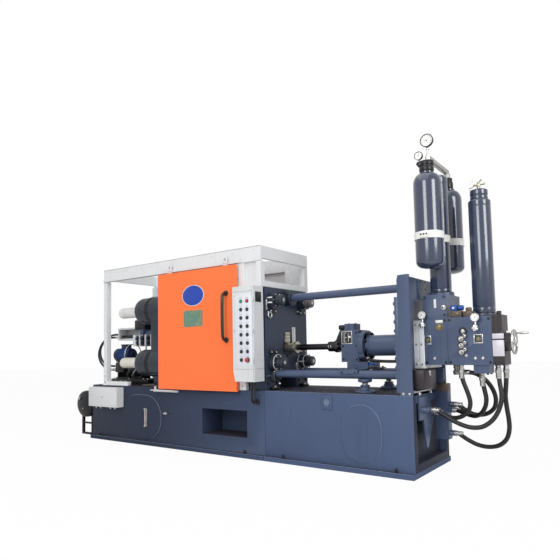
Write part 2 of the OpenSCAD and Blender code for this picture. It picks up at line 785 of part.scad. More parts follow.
// Handwheel with a crank grip, turning about X.
module handwheel() {
    r = wheel_d / 2 - 9;
    color([0.55, 0.60, 0.60]) translate([wheel_x, wheel_y, shot_axis + 4]) rotate([0, 90, 0]) {
        rotate_extrude() translate([r, 9]) circle(d = 18);
        difference() {
            union() {
                translate([0, 0, -12]) cylinder(d = 40, h = 40);
                for (a = [0:120:240]) rotate([0, 0, a])
                    translate([0, -8, 4]) cube([r, 16, 10]);
            }
            translate([0, 0, -14]) cylinder(d = 16.6, h = 36);
        }
        translate([-r * cos(40), r * sin(40), 9]) {
            cylinder(d = 12, h = 30);
            translate([0, 0, 30]) cylinder(d = 20, h = 62);
        }
    }
}

// Spindle of the handwheel, carried by the end valve.
module wheel_spindle() {
    color([0.75, 0.76, 0.77]) bar_x(block_x2 + 104, wheel_x + 20, wheel_y, shot_axis + 4, 16);
}

// Two small gauges on needle valves with star knobs.
module block_gauges() {
    for (p = [[block_x0 + 4, block_z1 + 28], [block_x2 - 106, block_z1 - 10]]) {
        color([0.85, 0.85, 0.86]) {
            bar_y(block_y - 52, block_y - 24, p[0], p[1], 66);
            bar_z(p[1] - 76, p[1] - 32, p[0], block_y - 38, 16);
        }
        color([0.20, 0.20, 0.22]) {
            bar_y(block_y - 50, block_y - 4, p[0], p[1] - 80, 30);
            bar_y(block_y - 4, block_y, p[0] + 6, p[1] - 80, 16);
            bar_y(block_y - 66, block_y - 50, p[0], p[1] - 80, 48);
        }
    }
}

// A pressure vessel standing up: straight shell, round shoulder and neck.
module vessel(d, z0, z1, shoulder, neck_d, foot_r) {
    r = d / 2;
    rotate_extrude($fn = 64) polygon(concat(
        [[0, z0]],
        [for (a = [-90:15:0]) [r - foot_r + foot_r * cos(a), z0 + foot_r + foot_r * sin(a)]],
        [for (a = [0:15:75]) [neck_d / 2 + (r - neck_d / 2) * cos(a),
            z1 - shoulder + shoulder * sin(a)]],
        [[neck_d / 2, z1], [0, z1]]));
}

// Piston accumulator in the middle of the bottles, flanged on the upper block.
module accumulator_column() {
    z0 = block_z1 + upper_h + 22;
    color([0.33, 0.38, 0.50]) translate([column_x, 0, 0]) {
        bar_z(z0, z0 + 955, 0, 0, acc_d);
        bar_z(z0 + 955, z0 + 972, 0, 0, acc_d - 36);
    }
}

// Piston accumulator at the right end of the block.
module accumulator_right() {
    color([0.35, 0.40, 0.50]) translate([right_acc_x, 0, 0]) {
        bar_z(block_z1, block_z1 + 24, 0, 0, acc_d + 20);
        bar_z(block_z1 + 24, block_z1 + 918, 0, 0, acc_d);
        bar_z(block_z1 + 918, block_z1 + 1006, 0, 0, acc_d - 34);
    }
    color([0.72, 0.56, 0.30]) translate([right_acc_x, 0, 0]) {
        bar_z(block_z1 + 1006, block_z1 + 1070, 0, 0, 30);
        bar_x(-52, 52, 0, block_z1 + 1050, 18);
    }
    color([0.85, 0.85, 0.86])
        bar_y(-16, 12, right_acc_x - 62, block_z1 + 1062, 66);
}

// The two gas bottles.
module gas_bottles() {
    color([0.22, 0.25, 0.34]) for (s = [-1, 1])
        translate([bottle_x + (s > 0 ? 26 : 0), s * bottle_off + (s > 0 ? 18 : 0), 0])
            vessel(bottle_d, bottle_z0, bottle_z0 + bottle_h - (s > 0 ? rear_drop : 0), 100,
                bottle_neck_d, 40);
}

// Clamp bands that tie both bottles to the column.
module bottle_bands() {
    z = bottle_z0 + 226;
    h = 57;
    color([0.88, 0.88, 0.88]) difference() {
        union() {
            for (s = [-1, 1])
                translate([bottle_x + (s > 0 ? 26 : 0), s * bottle_off + (s > 0 ? 18 : 0), z])
                    cylinder(d = bottle_d + 14, h = h);
            translate([column_x, 0, z]) cylinder(d = acc_d + 14, h = h);
            // Clamp blocks between the rings
            box([column_x - 34, -bottle_off, z], [column_x + 34, bottle_off + 18, z + h]);
        }
        for (s = [-1, 1])
            translate([bottle_x + (s > 0 ? 26 : 0), s * bottle_off + (s > 0 ? 18 : 0), z - 1])
                cylinder(d = bottle_d + 2 * gap, h = h + 2);
        translate([column_x, 0, z - 1]) cylinder(d = acc_d + 2 * gap, h = h + 2);
    }
}

// Bottle valves, the bar that joins them and the gauges on the front one.
module bottle_pipework() {
    z = bottle_z0 + bottle_h;
    yf = -bottle_off;
    yr = bottle_off + 18;
    color([0.20, 0.20, 0.22]) {
        bar_z(z, z + 92, bottle_x, yf, bottle_neck_d + 4);
        bar_z(z - rear_drop, z + 52, bottle_x + 26, yr, bottle_neck_d - 20);
        box([bottle_x - 66, yf - 26, z + 50], [bottle_x, yf + 26, z + 86]);
    }
    color([0.62, 0.63, 0.65]) {
        bar_z(z + 52, z + 92, bottle_x + 26, yr, 52);
        box([bottle_x - 2, yf - 22, z + 92], [bottle_x + 38, yr + 26, z + 128]);
    }
    color([0.86, 0.87, 0.88]) {
        bar_z(z + 128, z + 206, bottle_x + 14, yf, 16);
        bar_y(yf - 22, yf + 14, bottle_x + 14, z + 254, 107);
        bar_y(yf - 44, yf - 14, bottle_x - 50, z + 136, 70);
        bar_z(z + 86, z + 106, bottle_x - 50, yf - 16, 12);
    }
}

// Guard frame of square tube: four posts, a fascia, and an end frame on the fixed platen.
module guard_frame() {
    z0 = bed_h;
    z1 = guard_top;
    t = tube;
    zf = z1 - fascia_h;
    zp = platen_z1;
    color([0.93, 0.94, 0.94]) {
        // Front posts, the left one on a foot beam
        box([guard_x0, guard_y0, z0], [guard_x0 + t, guard_y0 + t, zf]);
        box([post_x1 - post_w, guard_y0, z0], [post_x1, guard_y0 + t - 16, zf]);
        box([guard_x0 + t, guard_y0 + 6, z0], [guard_x0 + 430, guard_y0 + t - 6, z0 + 46]);
        // Rear posts
        box([guard_x0, guard_y1 - t, z0], [guard_x0 + t, guard_y1, zf]);
        box([post_x1 - t, guard_y1 - t + 16, z0], [post_x1, guard_y1, zf]);
        // Fascia in front and behind
        for (y = [guard_y0, guard_y1 - 30])
            box([guard_x0, y, zf], [guard_x1, y + 30, z1]);
        // Side beams at the top
        for (x = [guard_x0, guard_x1 - 30])
            box([x, guard_y0 + 30, zf + 25], [x + 30, guard_y1 - 30, z1]);
        // End frame that stands on the fixed platen
        for (y = [guard_y0, guard_y1 - t]) {
            box([post_x1, y, zp], [guard_x1, y + t, zp + 56]);
            box([guard_x1 - t, y, zp + 56], [guard_x1, y + t, zf]);
        }
        box([guard_x1 - t, guard_y0 + t, zp], [guard_x1, guard_y1 - t, zp + 56]);
        // Filler panels beside it
        for (y = [guard_y0 + 24, guard_y1 - 30])
            box([post_x1, y, zp + 56], [guard_x1 - t, y + 6, zf]);
    }
}

// Rails that carry the sliding door, above and below it.
module door_rails() {
    color([0.85, 0.86, 0.86]) {
        box([guard_x0 + 10, guard_y0 - 14, rail_z1 - 30], [door_x1 + 40, guard_y0, rail_z1]);
        // Floor guide under the door's left half, with a stop pin
        box([door_x0 - 125, front_y - 24, bed_h - 48], [door_x0 + 240, front_y, bed_h - 24]);
        box([door_x0 - 125, front_y - 70, bed_h - 32], [door_x0 + 240, front_y - 24, bed_h - 24]);
        box([door_x0 - 112, front_y - 22, bed_h - 24], [door_x0 - 92, front_y - 4, bed_h + 10]);
    }
}

hanger_xs = [door_x0 + 150, door_x1 - 150];

// Sliding front door: a sheet metal shell, open at the back, hung on two rollers.
module front_door() {
    color([1.0, 0.49, 0.29]) {
        difference() {
            box([door_x0, door_y0, door_z0], [door_x1, door_y1, door_z0 + door_h]);
            box([door_x0 + 24, door_y0 + 3, door_z0 + 24],
                [door_x1 - 24, door_y1 + 1, door_z0 + door_h - 24]);
        }
    }
    // Hangers in front of the rail
    color([0.93, 0.94, 0.94]) for (x = hanger_xs)
        box([x - 30, door_y1 - 6, door_z0 + door_h - 24], [x + 30, door_y1, rail_z1 + 36]);
    // Rollers on the rail
    color([0.30, 0.30, 0.32]) for (x = hanger_xs)
        bar_y(door_y1, door_y1 + 13, x, rail_z1 + 20 + gap, 40);
    // Plate and badge blank on the front
    color([0.55, 0.62, 0.35])
        box([door_x0 + 388, door_y0 - 3, door_z0 + 632], [door_x0 + 652, door_y0, door_z0 + 800]);
    color([0.12, 0.35, 0.75])
        bar_y(door_y0 - 5, door_y0, door_x0 + 522, door_z0 + 948, 300);
}

// Grip of the door.
module door_handle() {
    x = door_x1 - 116;
    color([0.08, 0.08, 0.08]) {
        for (z = [door_z0 + 486, door_z0 + 936]) {
            bar_y(door_y0 - 10, door_y0, x, z, 56);
            bar_y(door_y0 - 58, door_y0 - 10, x, z, 30);
            translate([x, door_y0 - 58, z]) sphere(d = 30);
        }
        bar_z(door_z0 + 486, door_z0 + 936, x, door_y0 - 58, 30);
    }
}

// Rim of the rear guard panel.
t_rim = 60;

// Fixed guard panel behind the machine.
module rear_door() {
    z1 = guard_top - fascia_h + 40;
    color([0.90, 0.91, 0.91]) difference() {
        box([guard_x0, guard_y1, bed_h + 16], [post_x1, guard_y1 + door_t, z1]);
        // Hollow inner side, clear of the nuts and bosses at the tie bars
        box([guard_x0 + t_rim, guard_y1 - 1, bed_h + 16 + t_rim],
            [post_x1 - t_rim, tie_y + nut_d / 2 + 3, z1 - t_rim]);
    }
}

// Control box with its bevelled foot, let in round the guard's front post.
module control_box() {
    z1 = box_z0 + box_h;
    color([0.90, 0.91, 0.90]) difference() {
        translate([0, box_y0 + box_d, 0]) rotate([90, 0, 0]) linear_extrude(box_d)
            polygon([[box_x0 + 22, box_z0], [box_x1, box_z0], [box_x1, z1], [box_x0, z1],
                [box_x0, box_z0 + 90]]);
        box([box_x0 - 1, guard_y0, box_z0 - 1], [post_x1 + gap, guard_y0 + 200, z1 + 1]);
    }
}

// Push buttons in two columns, with the emergency stop at the foot.
module control_buttons() {
    pitch = 77;
    z_top = box_z0 + 738;
    color([0.06, 0.06, 0.06]) for (row = [0:7]) for (col = [0, 1]) {
        if (!(row == 7 && col == 1))
            bar_y(box_y0 - 16, box_y0, box_x0 + 106 + 74 * col, z_top - pitch * row, 28);
    }
    color([0.85, 0.10, 0.15])
        bar_y(box_y0 - 30, box_y0, box_x0 + 180, z_top - pitch * 7, 40);
}

// Two cables from the control box down into the bed.
module conduit() {
    y = box_y0 + 80;
    z = box_z0 - 190;
    color([0.08, 0.08, 0.09]) for (x = [box_x0 + 150, box_x0 + 184]) {
        bar_z(z, box_z0, x, y, 20);
        translate([x, y, z]) sphere(d = 20);
        bar_y(y, front_y, x, z, 20);
    }
    color([0.55, 0.56, 0.58])
        box([box_x0 + 132, front_y - 12, z - 20], [box_x0 + 202, front_y, z + 20]);
}

// Grey junction box on the left end of the bed's front.
module junction_box() {
    color([0.78, 0.80, 0.82])
        box([left_x + 50, front_y - 95, 384], [left_x + 570, front_y, bed_h - 18]);
}

// Electric pump motor and pumps behind the clamp, on the bed's left end.
module pump_motors() {
    color([0.12, 0.25, 0.50]) {
        bar_x(left_x + 40, left_x + 330, -60, motor_z, 150);
        for (i = [0:6]) bar_x(left_x + 70 + 34 * i, left_x + 78 + 34 * i, -60, motor_z, 166);
    }
    color([0.13, 0.13, 0.16]) {
        box([left_x + 20, -150, bed_h], [left_x + 700, 150, bed_h + 60]);
        box([left_x + 60, -110, bed_h + 60], [left_x + 300, 60, motor_z - 60]);
        bar_x(left_x + 330, left_x + 620, -60, pump_z, 190);
        box([left_x + 380, -130, bed_h + 60], [left_x + 560, 10, pump_z - 60]);
    }
    // Hose unions on the left faces
    color([0.74, 0.74, 0.75]) {
        bar_x(left_x + 8, left_x + 60, -20, pump_z + 30, 40);
        bar_x(left_x + 8, left_x + 60, -95, pump_z - 10, 40);
    }
}

// Wiring channel and valves at the back of the clamp cylinder.
module clamp_valves() {
    x = rear_x0 - 470;
    color([0.13, 0.13, 0.15]) {
        box([x - 145, -80, axis_z + 100], [x + 40, 80, axis_z + 220]);
        // Valve stack beside the cylinder
        box([x - 10, -196, axis_z - 92], [x + 380, -100, axis_z + 22]);
    }
    color([0.74, 0.74, 0.75]) {
        bar_x(x - 479, x - 457, 30, axis_z + 55, 40);
        bar_x(x - 479, x - 457, -40, axis_z + 20, 40);
    }
    color([0.80, 0.81, 0.82]) {
        for (p = [[-16, 34], [90, 108], [190, 208], [290, 308]])
            box([x + p[0], -208, axis_z - 100], [x + p[1], -150, axis_z + 34]);
        difference() {
            box([x - 457, -80, axis_z - 20], [x - 127, 80, axis_z + 130]);
            box([x - 437, -81, axis_z], [x - 126, 60, axis_z + 110]);
        }
    }
}

// Round tank on legs at the left end.
module aux_tank() {
    color([0.14, 0.14, 0.17]) {
        translate([tank_x, 0, tank_z]) rotate([-90, 0, 0]) {
            translate([0, 0, -320]) cylinder(d = tank_d, h = 560);
            translate([0, 0, -345]) cylinder(d1 = tank_d - 90, d2 = tank_d, h = 25);
            translate([0, 0, 240]) cylinder(d1 = tank_d, d2 = tank_d - 90, h = 25);
        }
        bar_x(tank_x, left_x, -60, tank_z + 60, 60);
        bar_x(left_x - 24, left_x, -60, tank_z + 60, 110);
        for (y = [-270, 190]) {
            box([tank_x - 110, y, 0], [tank_x - 80, y + 30, tank_z - 60]);
            box([tank_x + 80, y, 0], [tank_x + 110, y + 30, tank_z - 60]);
            box([tank_x - 110, y, 0], [tank_x + 110, y + 30, 24]);
        }
    }
}

// Manifold, union plate and unions on the right end of the bed.
module bed_end_fittings() {
    color([0.30, 0.34, 0.45]) {
        box([right_x, 80, 240], [right_x + 110, 160, manifold_z1]);
        box([right_x, -300, 430], [right_x + 14, -50, bed_h - 16]);
        // Tapered gusset below the plate
        translate([right_x, 0, 0]) rotate([90, 0, 90]) linear_extrude(14)
            polygon([[-210, 430], [-165, 205], [-135, 205], [5, 430]]);
    }
    color([0.66, 0.62, 0.58]) {
        for (p = [[-100, 480], [-165, 503], [-240, 510]])
            bar_x(right_x + 14, right_x + 62, p[0], p[1], 46);
        for (p = [[140, 520], [95, 480], [120, 290]])
            bar_x(right_x + 110, right_x + 145, p[0], p[1], 46);
    }
}

// Level gauge on the clamp side's cover.
module level_gauge() {
    x = left_x + 941;
    y = front_y - 9;
    color([0.85, 0.86, 0.87]) {
        box([x, y - 14, 194], [x + 40, y, 391]);
        for (z = [204, 381]) bar_y(y - 22, y - 14, x + 20, z, 22);
    }
}

// Hose routes at the default sizes, and how far their two ends move with the sizes.
hose_d = 34;
small_hose_d = 26;
block_move = [block_x0 - 2031, 0, block_z0 - 853.5];
bed_move = [right_x - 2000, 0, 0];
valve_move = [rear_x0 + 1010, 0, axis_z - 1170];
motor_move = [left_x + 2000, 0, bed_h - 624];
route_1 =
    [[2300, -150, 815], [2300, -150, 789], [2309, -149, 733], [2327, -147, 679],
     [2344, -143, 625], [2353, -139, 569], [2339, -132, 514], [2301, -124, 473],
     [2251, -116, 448], [2195, -108, 444], [2140, -102, 460], [2088, -100, 480],
     [2062, -100, 480]];
route_2 =
    [[2280, -80, 795.5], [2306, -80, 795.5], [2371, -63, 787], [2427, -40, 752],
     [2467, -13, 701], [2490, 17, 641], [2494, 46, 578], [2474, 75, 517], [2426, 98, 472],
     [2362, 114, 450], [2293, 126, 453], [2230, 134, 483], [2171, 140, 520],
     [2145, 140, 520]];
route_3 =
    [[2440, -105, 755], [2440, -105, 729], [2451, -98, 662], [2457, -84, 594], [2440, -65, 530],
     [2402, -39, 479], [2349, -5, 453], [2291, 32, 454], [2232, 65, 466], [2171, 95, 480],
     [2145, 95, 480]];
route_4 =
    [[2562, -120, 815], [2562, -120, 789], [2569, -123, 714], [2579, -129, 640],
     [2571, -136, 566], [2544, -144, 496], [2499, -150, 436], [2436, -157, 395],
     [2362, -162, 386], [2289, -164, 402], [2220, -166, 432], [2155, -166, 471],
     [2088, -165, 503], [2062, -165, 503]];
route_5 =
    [[2600, -45, 815], [2600, -45, 789], [2593, -41, 702], [2582, -29, 617], [2583, -9, 532],
     [2587, 15, 448], [2583, 38, 364], [2556, 59, 285], [2494, 81, 228], [2412, 98, 206],
     [2326, 110, 213], [2246, 118, 245], [2171, 120, 290], [2145, 120, 290]];
route_6 =
    [[-1959, 30, 1225], [-1985, 30, 1225], [-2087, 29, 1229], [-2188, 26, 1224],
     [-2285, 21, 1193], [-2365, 14, 1131], [-2411, 5, 1043], [-2387, -4, 946], [-2316, -12, 875],
     [-2221, -17, 839], [-2120, -19, 832], [-2018, -20, 830], [-1992, -20, 830]];
route_7 =
    [[-1959, -40, 1190], [-1985, -40, 1190], [-2082, -43, 1191], [-2179, -48, 1184],
     [-2264, -56, 1140], [-2322, -65, 1063], [-2334, -75, 969], [-2285, -84, 887],
     [-2206, -90, 831], [-2115, -94, 798], [-2018, -95, 790], [-1992, -95, 790]];
function laid(route, start, end) = let (n = len(route) - 1)
    [for (i = [0:n]) route[i] + start * (n - i) / n + end * i / n];

// Hose from under the block's right half to the union plate.
module hose_1() {
    color([0.06, 0.06, 0.07]) swept_tube(laid(route_1, block_move, bed_move), hose_d);
}

// Hose from the elbow under the block to the manifold.
module hose_2() {
    color([0.06, 0.06, 0.07]) swept_tube(laid(route_2, block_move, bed_move), hose_d);
}

// Hose from the flange plate to the manifold.
module hose_3() {
    color([0.06, 0.06, 0.07]) swept_tube(laid(route_3, block_move, bed_move), hose_d);
}

// Hose from the end valve to the union plate.
module hose_4() {
    color([0.06, 0.06, 0.07]) swept_tube(laid(route_4, block_move, bed_move), hose_d);
}

// Hose from the end valve's corner down to the manifold's foot.
module hose_5() {
    color([0.06, 0.06, 0.07]) swept_tube(laid(route_5, block_move, bed_move), hose_d);
}

// Outer loop from the wiring channel to the pump.
module hose_6() {
    color([0.06, 0.06, 0.07]) swept_tube(laid(route_6, valve_move, motor_move), small_hose_d);
}

// Inner loop from the wiring channel to the pump.
module hose_7() {
    color([0.06, 0.06, 0.07]) swept_tube(laid(route_7, valve_move, motor_move), small_hose_d);
}

bed_left();
bed_right();
slide_ways();
bed_covers();
fixed_platen();
moving_platen();
rear_platen();
tie_bars();
tie_bar_nuts();
geared_nuts();
toggle_links();
toggle_pins();
crosshead();
clamp_cylinder();
ejector();
shot_sleeve();
plunger();
shot_head();
shot_flange();
shot_cylinder();
shot_pedestal();
support_jack();
injection_rods();
rod_mounts();
end_frame();
end_flange();
steel_flanges();
valve_block();
upper_block();
block_valves();
end_valve();
handwheel();
wheel_spindle();
block_gauges();
accumulator_column();
accumulator_right();
gas_bottles();
bottle_bands();
bottle_pipework();
guard_frame();
door_rails();
front_door();
door_handle();
rear_door();
control_box();
control_buttons();
conduit();
junction_box();
pump_motors();
clamp_valves();
aux_tank();
bed_end_fittings();
level_gauge();
hose_1();
hose_2();
hose_3();
hose_4();
hose_5();
hose_6();
hose_7();
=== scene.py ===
"""Cold chamber die casting machine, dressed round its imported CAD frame.

Shapes are surfaces of two parameters worked out with numpy. They are in millimetres until build
makes objects of them; camera, lights and materials are in metres.
"""
import itertools
import json
import math

import bmesh
import bpy
import numpy as np
from mathutils import Matrix, Vector

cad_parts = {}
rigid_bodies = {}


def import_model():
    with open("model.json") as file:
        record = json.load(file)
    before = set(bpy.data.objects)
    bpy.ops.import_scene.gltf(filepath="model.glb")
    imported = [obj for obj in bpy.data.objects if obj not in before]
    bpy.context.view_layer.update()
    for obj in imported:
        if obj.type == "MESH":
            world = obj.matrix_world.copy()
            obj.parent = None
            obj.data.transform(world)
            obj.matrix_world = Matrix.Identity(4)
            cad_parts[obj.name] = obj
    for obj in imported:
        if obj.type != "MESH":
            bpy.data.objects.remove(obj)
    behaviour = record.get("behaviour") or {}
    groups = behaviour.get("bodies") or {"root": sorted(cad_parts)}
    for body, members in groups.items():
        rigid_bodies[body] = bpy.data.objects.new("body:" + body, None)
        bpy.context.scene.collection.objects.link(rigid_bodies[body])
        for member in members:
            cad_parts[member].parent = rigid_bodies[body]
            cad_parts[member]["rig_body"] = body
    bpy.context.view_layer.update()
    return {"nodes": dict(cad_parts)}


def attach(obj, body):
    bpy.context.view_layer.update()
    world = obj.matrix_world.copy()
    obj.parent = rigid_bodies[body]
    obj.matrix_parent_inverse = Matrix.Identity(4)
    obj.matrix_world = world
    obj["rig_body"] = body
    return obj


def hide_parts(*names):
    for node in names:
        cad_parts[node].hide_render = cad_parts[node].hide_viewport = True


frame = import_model()
nodes = frame["nodes"]

RIGHT, BACK, UP = (1, 0, 0), (0, 1, 0), (0, 0, 1)
LEFT, FRONT, DOWN = (-1, 0, 0), (0, -1, 0), (0, 0, -1)


# Colours and measures

# Height of the shot axis, then where the four tie bars are, in millimetres as in the part's source
SHOT_Z = 1017
TIE_Y = (-250, 250)
TIE_Z = (878, 1462)


def paint(red, green, blue):
    """A colour read off a chart from 0 to 255, as the linear colour a shader takes."""
    return tuple(((c / 255 + 0.055) / 1.055) ** 2.4 if c > 10 else c / 255 / 12.92
        for c in (red, green, blue)) + (1.0,)


# Camera and stage

def aim_camera():
    """The photographer's eye: a level turn, a small tilt up and a smaller roll."""
    turn, tilt, roll = math.radians(35.66), math.radians(4.06), math.radians(-1.16)
    ahead = Vector((-math.sin(turn) * math.cos(tilt), math.cos(turn) * math.cos(tilt), math.sin(tilt)))
    level = Vector((math.cos(turn), math.sin(turn), 0))
    upright = level.cross(ahead)
    right = level * math.cos(roll) + upright * math.sin(roll)
    up = upright * math.cos(roll) - level * math.sin(roll)
    lens = bpy.data.cameras.new("camera")
    lens.sensor_width = 36
    lens.lens = 34.03
    lens.shift_y = 0.0568
    camera = bpy.data.objects.new("camera", lens)
    bpy.context.scene.collection.objects.link(camera)
    camera.matrix_world = Matrix(((right.x, up.x, -ahead.x, 3.555), (right.y, up.y, -ahead.y, -4.264),
        (right.z, up.z, -ahead.z, 1.0), (0, 0, 0, 1)))
    bpy.context.scene.camera = camera


# Meshes

def grid(rows, columns, round_rows=False, round_columns=False):
    """Quads between neighbouring points of a grid, joined round where asked."""
    r = np.arange(rows if round_rows else rows - 1)
    c = np.arange(columns if round_columns else columns - 1)
    r, c = np.meshgrid(r, c, indexing="ij")
    below, beside = (r + 1) % rows, (c + 1) % columns
    corners = [r * columns + c, r * columns + beside, below * columns + beside, below * columns + c]
    return np.stack(corners, -1).reshape(-1, 4)


def surface(points, round_rows=False, round_columns=False, caps=()):
    """A grid of points as (points, faces); caps name the rows closed by one face."""
    rows, columns = points.shape[:2]
    faces = grid(rows, columns, round_rows, round_columns).tolist()
    for row in caps:
        faces.append([row % rows * columns + c for c in range(columns)])
    return points.reshape(-1, 3), faces


def closed(points):
    """A surface whose rows are rings, with its first and last ring filled."""
    return surface(points, round_columns=True, caps=(0, -1))


def square_to(axis):
    """A direction made one long, with two directions square to it and to each other."""
    axis = np.array(axis, float) / np.linalg.norm(axis)
    u = np.cross(axis, UP if abs(axis[2]) < 0.9 else RIGHT)
    u /= np.linalg.norm(u)
    return axis, u, np.cross(axis, u)


def turned(profile, start, axis, sides=32, flat=0.0):
    """A profile of (distance along, radius) pairs turned about an axis from start.

    The point at row i and angle t is start + along_i axis + radius_i (cos t u + sin t v).
    """
    axis, u, v = square_to(axis)
    t = np.linspace(0, 2 * np.pi, sides, endpoint=False) + flat
    ring = np.cos(t)[:, None] * u + np.sin(t)[:, None] * v
    along, radius = np.array(profile, float).T[:, :, None, None]
    return closed(np.array(start) + along * axis + np.maximum(radius, 0.01) * ring)


def eased(profile, r=2):
    """A turned profile with each of its corners cut twice, as a small round edge."""
    profile = np.array(profile, float)
    rows = [profile[0]]
    for before, corner, after in zip(profile[:-2], profile[1:-1], profile[2:]):
        back, on = before - corner, after - corner
        cut_back = min(r, 0.4 * np.linalg.norm(back))
        cut_on = min(r, 0.4 * np.linalg.norm(on))
        a = corner + back / max(np.linalg.norm(back), 1e-09) * cut_back
        b = corner + on / max(np.linalg.norm(on), 1e-09) * cut_on
        rows += [a, 0.25 * a + 0.5 * corner + 0.25 * b, b]
    rows.append(profile[-1])
    return np.array(rows)


def drum(start, axis, length, radius, r=3, sides=32):
    """A round bar with eased ends."""
    return turned(eased([(0, 0), (0, radius), (length, radius), (length, 0)], r), start, axis, sides)


def block(low, high, r=4, steps=2):
    """A block with round edges: a small sphere pulled apart at its eight octants.

    The point at turn t and height h is the centre plus r times the sphere's normal
    plus the half sizes less r, each with the sign of its octant.
    """
    low, high = np.array(low, float), np.array(high, float)
    half = (high - low) / 2
    r = min(r, 0.49 * half.min())
    quarter = np.linspace(0, np.pi / 2, steps + 1)
    turn = np.concatenate([quarter + k * np.pi / 2 for k in range(4)])
    sx = np.repeat([1, -1, -1, 1], steps + 1)
    sy = np.repeat([1, 1, -1, -1], steps + 1)
    rise = np.concatenate([quarter - np.pi / 2, quarter])
    sz = np.repeat([-1, 1], steps + 1)
    x = r * np.cos(rise)[:, None] * np.cos(turn) + sx * (half[0] - r)
    y = r * np.cos(rise)[:, None] * np.sin(turn) + sy * (half[1] - r)
    z = (r * np.sin(rise) + sz * (half[2] - r))[:, None] + 0 * turn
    points = np.stack([x, y, z], -1) + (low + high) / 2
    return closed(points)


def slab(outline, direction, thickness, r=3):
    """A flat plate: its outline inset and outset along the thickness, with eased rims.

    Rows run from the lower face's rim over the side to the upper face's rim.
    """
    outline = np.array(outline, float)
    direction = np.array(direction, float)
    length = np.linalg.norm(direction)
    direction = direction / length
    ahead = np.roll(outline, -1, 0) - outline
    ahead /= np.maximum(np.linalg.norm(ahead, axis=1)[:, None], 1e-09)
    out = np.cross(ahead, direction)
    corner = out + np.roll(out, 1, 0)
    corner /= np.maximum((corner * corner).sum(1)[:, None] / 2, 0.35)
    area = np.cross(outline - outline.mean(0), np.roll(outline, -1, 0) - outline.mean(0)).sum(0)
    if area @ direction < 0:
        corner = -corner
    rows = []
    for along, inset in ((0, r), (r * 0.3, r * 0.3), (r, 0), (thickness - r, 0),
            (thickness - r * 0.3, r * 0.3), (thickness, r)):
        rows.append(outline - corner * inset + direction * along)
    return closed(np.array(rows))


def facing_sheet(rows, centre=(0, 0)):
    """A plate that faces along Y: rows of (outline across and up, y), closed at both ends."""
    points = [np.column_stack([o[:, 0] + centre[0], np.full(len(o), y), o[:, 1] + centre[1]])
        for o, y in rows]
    return closed(np.array(points))


def waved(rows, centre):
    """A drum along X whose radius changes round it: rows of (x, radius at each even angle)."""
    points = []
    for x, r in rows:
        t = np.linspace(0, 2 * np.pi, len(r), endpoint=False)
        points.append(np.column_stack([np.full(len(r), x), centre[0] + r * np.cos(t),
            centre[1] + r * np.sin(t)]))
    return closed(np.array(points))


def torus(centre, radius, thick, sides, steps):
    """A ring about X: the point at turns t and s is centre + (radius + thick cos s) out(t) + thick sin s."""
    t = np.linspace(0, 2 * np.pi, sides, endpoint=False)[:, None]
    s = np.linspace(0, 2 * np.pi, steps, endpoint=False)[None, :]
    out = radius + thick * np.cos(s)
    points = np.stack([thick * np.sin(s) + 0 * t, out * np.cos(t), out * np.sin(t)], -1) + centre
    return surface(points, round_rows=True, round_columns=True)


def round_corners(width, height, r, steps=5):
    """Corner points of a rectangle with round corners, as (across, up) pairs."""
    a = np.linspace(0, np.pi / 2, steps + 1)
    t = np.concatenate([a + k * np.pi / 2 for k in range(4)])
    sx = np.repeat([1, -1, -1, 1], steps + 1)
    sy = np.repeat([1, 1, -1, -1], steps + 1)
    return np.stack([r * np.cos(t) + sx * (width / 2 - r), r * np.sin(t) + sy * (height / 2 - r)], -1)


def smooth_route(points, spacing=12):
    """A Catmull-Rom curve through points, resampled at an even spacing."""
    p = np.array(points, float)
    p = np.vstack([2 * p[0] - p[1], p, 2 * p[-1] - p[-2]])
    t = np.linspace(0, 1, 24, endpoint=False)[:, None]
    runs = []
    for a, b, c, d in zip(p[:-3], p[1:-2], p[2:-1], p[3:]):
        runs.append(0.5 * (2 * b + (c - a) * t + (2 * a - 5 * b + 4 * c - d) * t ** 2
            + (3 * b - a - 3 * c + d) * t ** 3))
    curve = np.vstack(runs + [p[-2][None]])
    travelled = np.concatenate([[0], np.cumsum(np.linalg.norm(np.diff(curve, axis=0), axis=1))])
    count = max(int(travelled[-1] / spacing), 4)
    even = np.linspace(0, travelled[-1], count + 1)
    return np.stack([np.interp(even, travelled, curve[:, k]) for k in range(3)], -1)


def hose_tube(route, radius, sides=12):
    """A tube along a route: rings square to it, each turned from the last by least twist.

    radius is one number or one for each point of the route.
    """
    route = np.array(route, float)
    ahead = np.gradient(route, axis=0)
    ahead /= np.linalg.norm(ahead, axis=1)[:, None]
    u = np.cross(ahead[0], (0.3, 0.2, 1.0))
    u /= np.linalg.norm(u)
    sideways = []
    for step in ahead:
        u = u - step * (u @ step)
        u = u / np.linalg.norm(u)
        sideways.append(u)
    sideways = np.array(sideways)
    third = np.cross(ahead, sideways)
    t = np.linspace(0, 2 * np.pi, sides, endpoint=False)
    radius = np.broadcast_to(np.array(radius, float), (len(route),))
    points = route[:, None] + radius[:, None, None] * (np.cos(t)[None, :, None] * sideways[:, None]
        + np.sin(t)[None, :, None] * third[:, None])
    return closed(points)


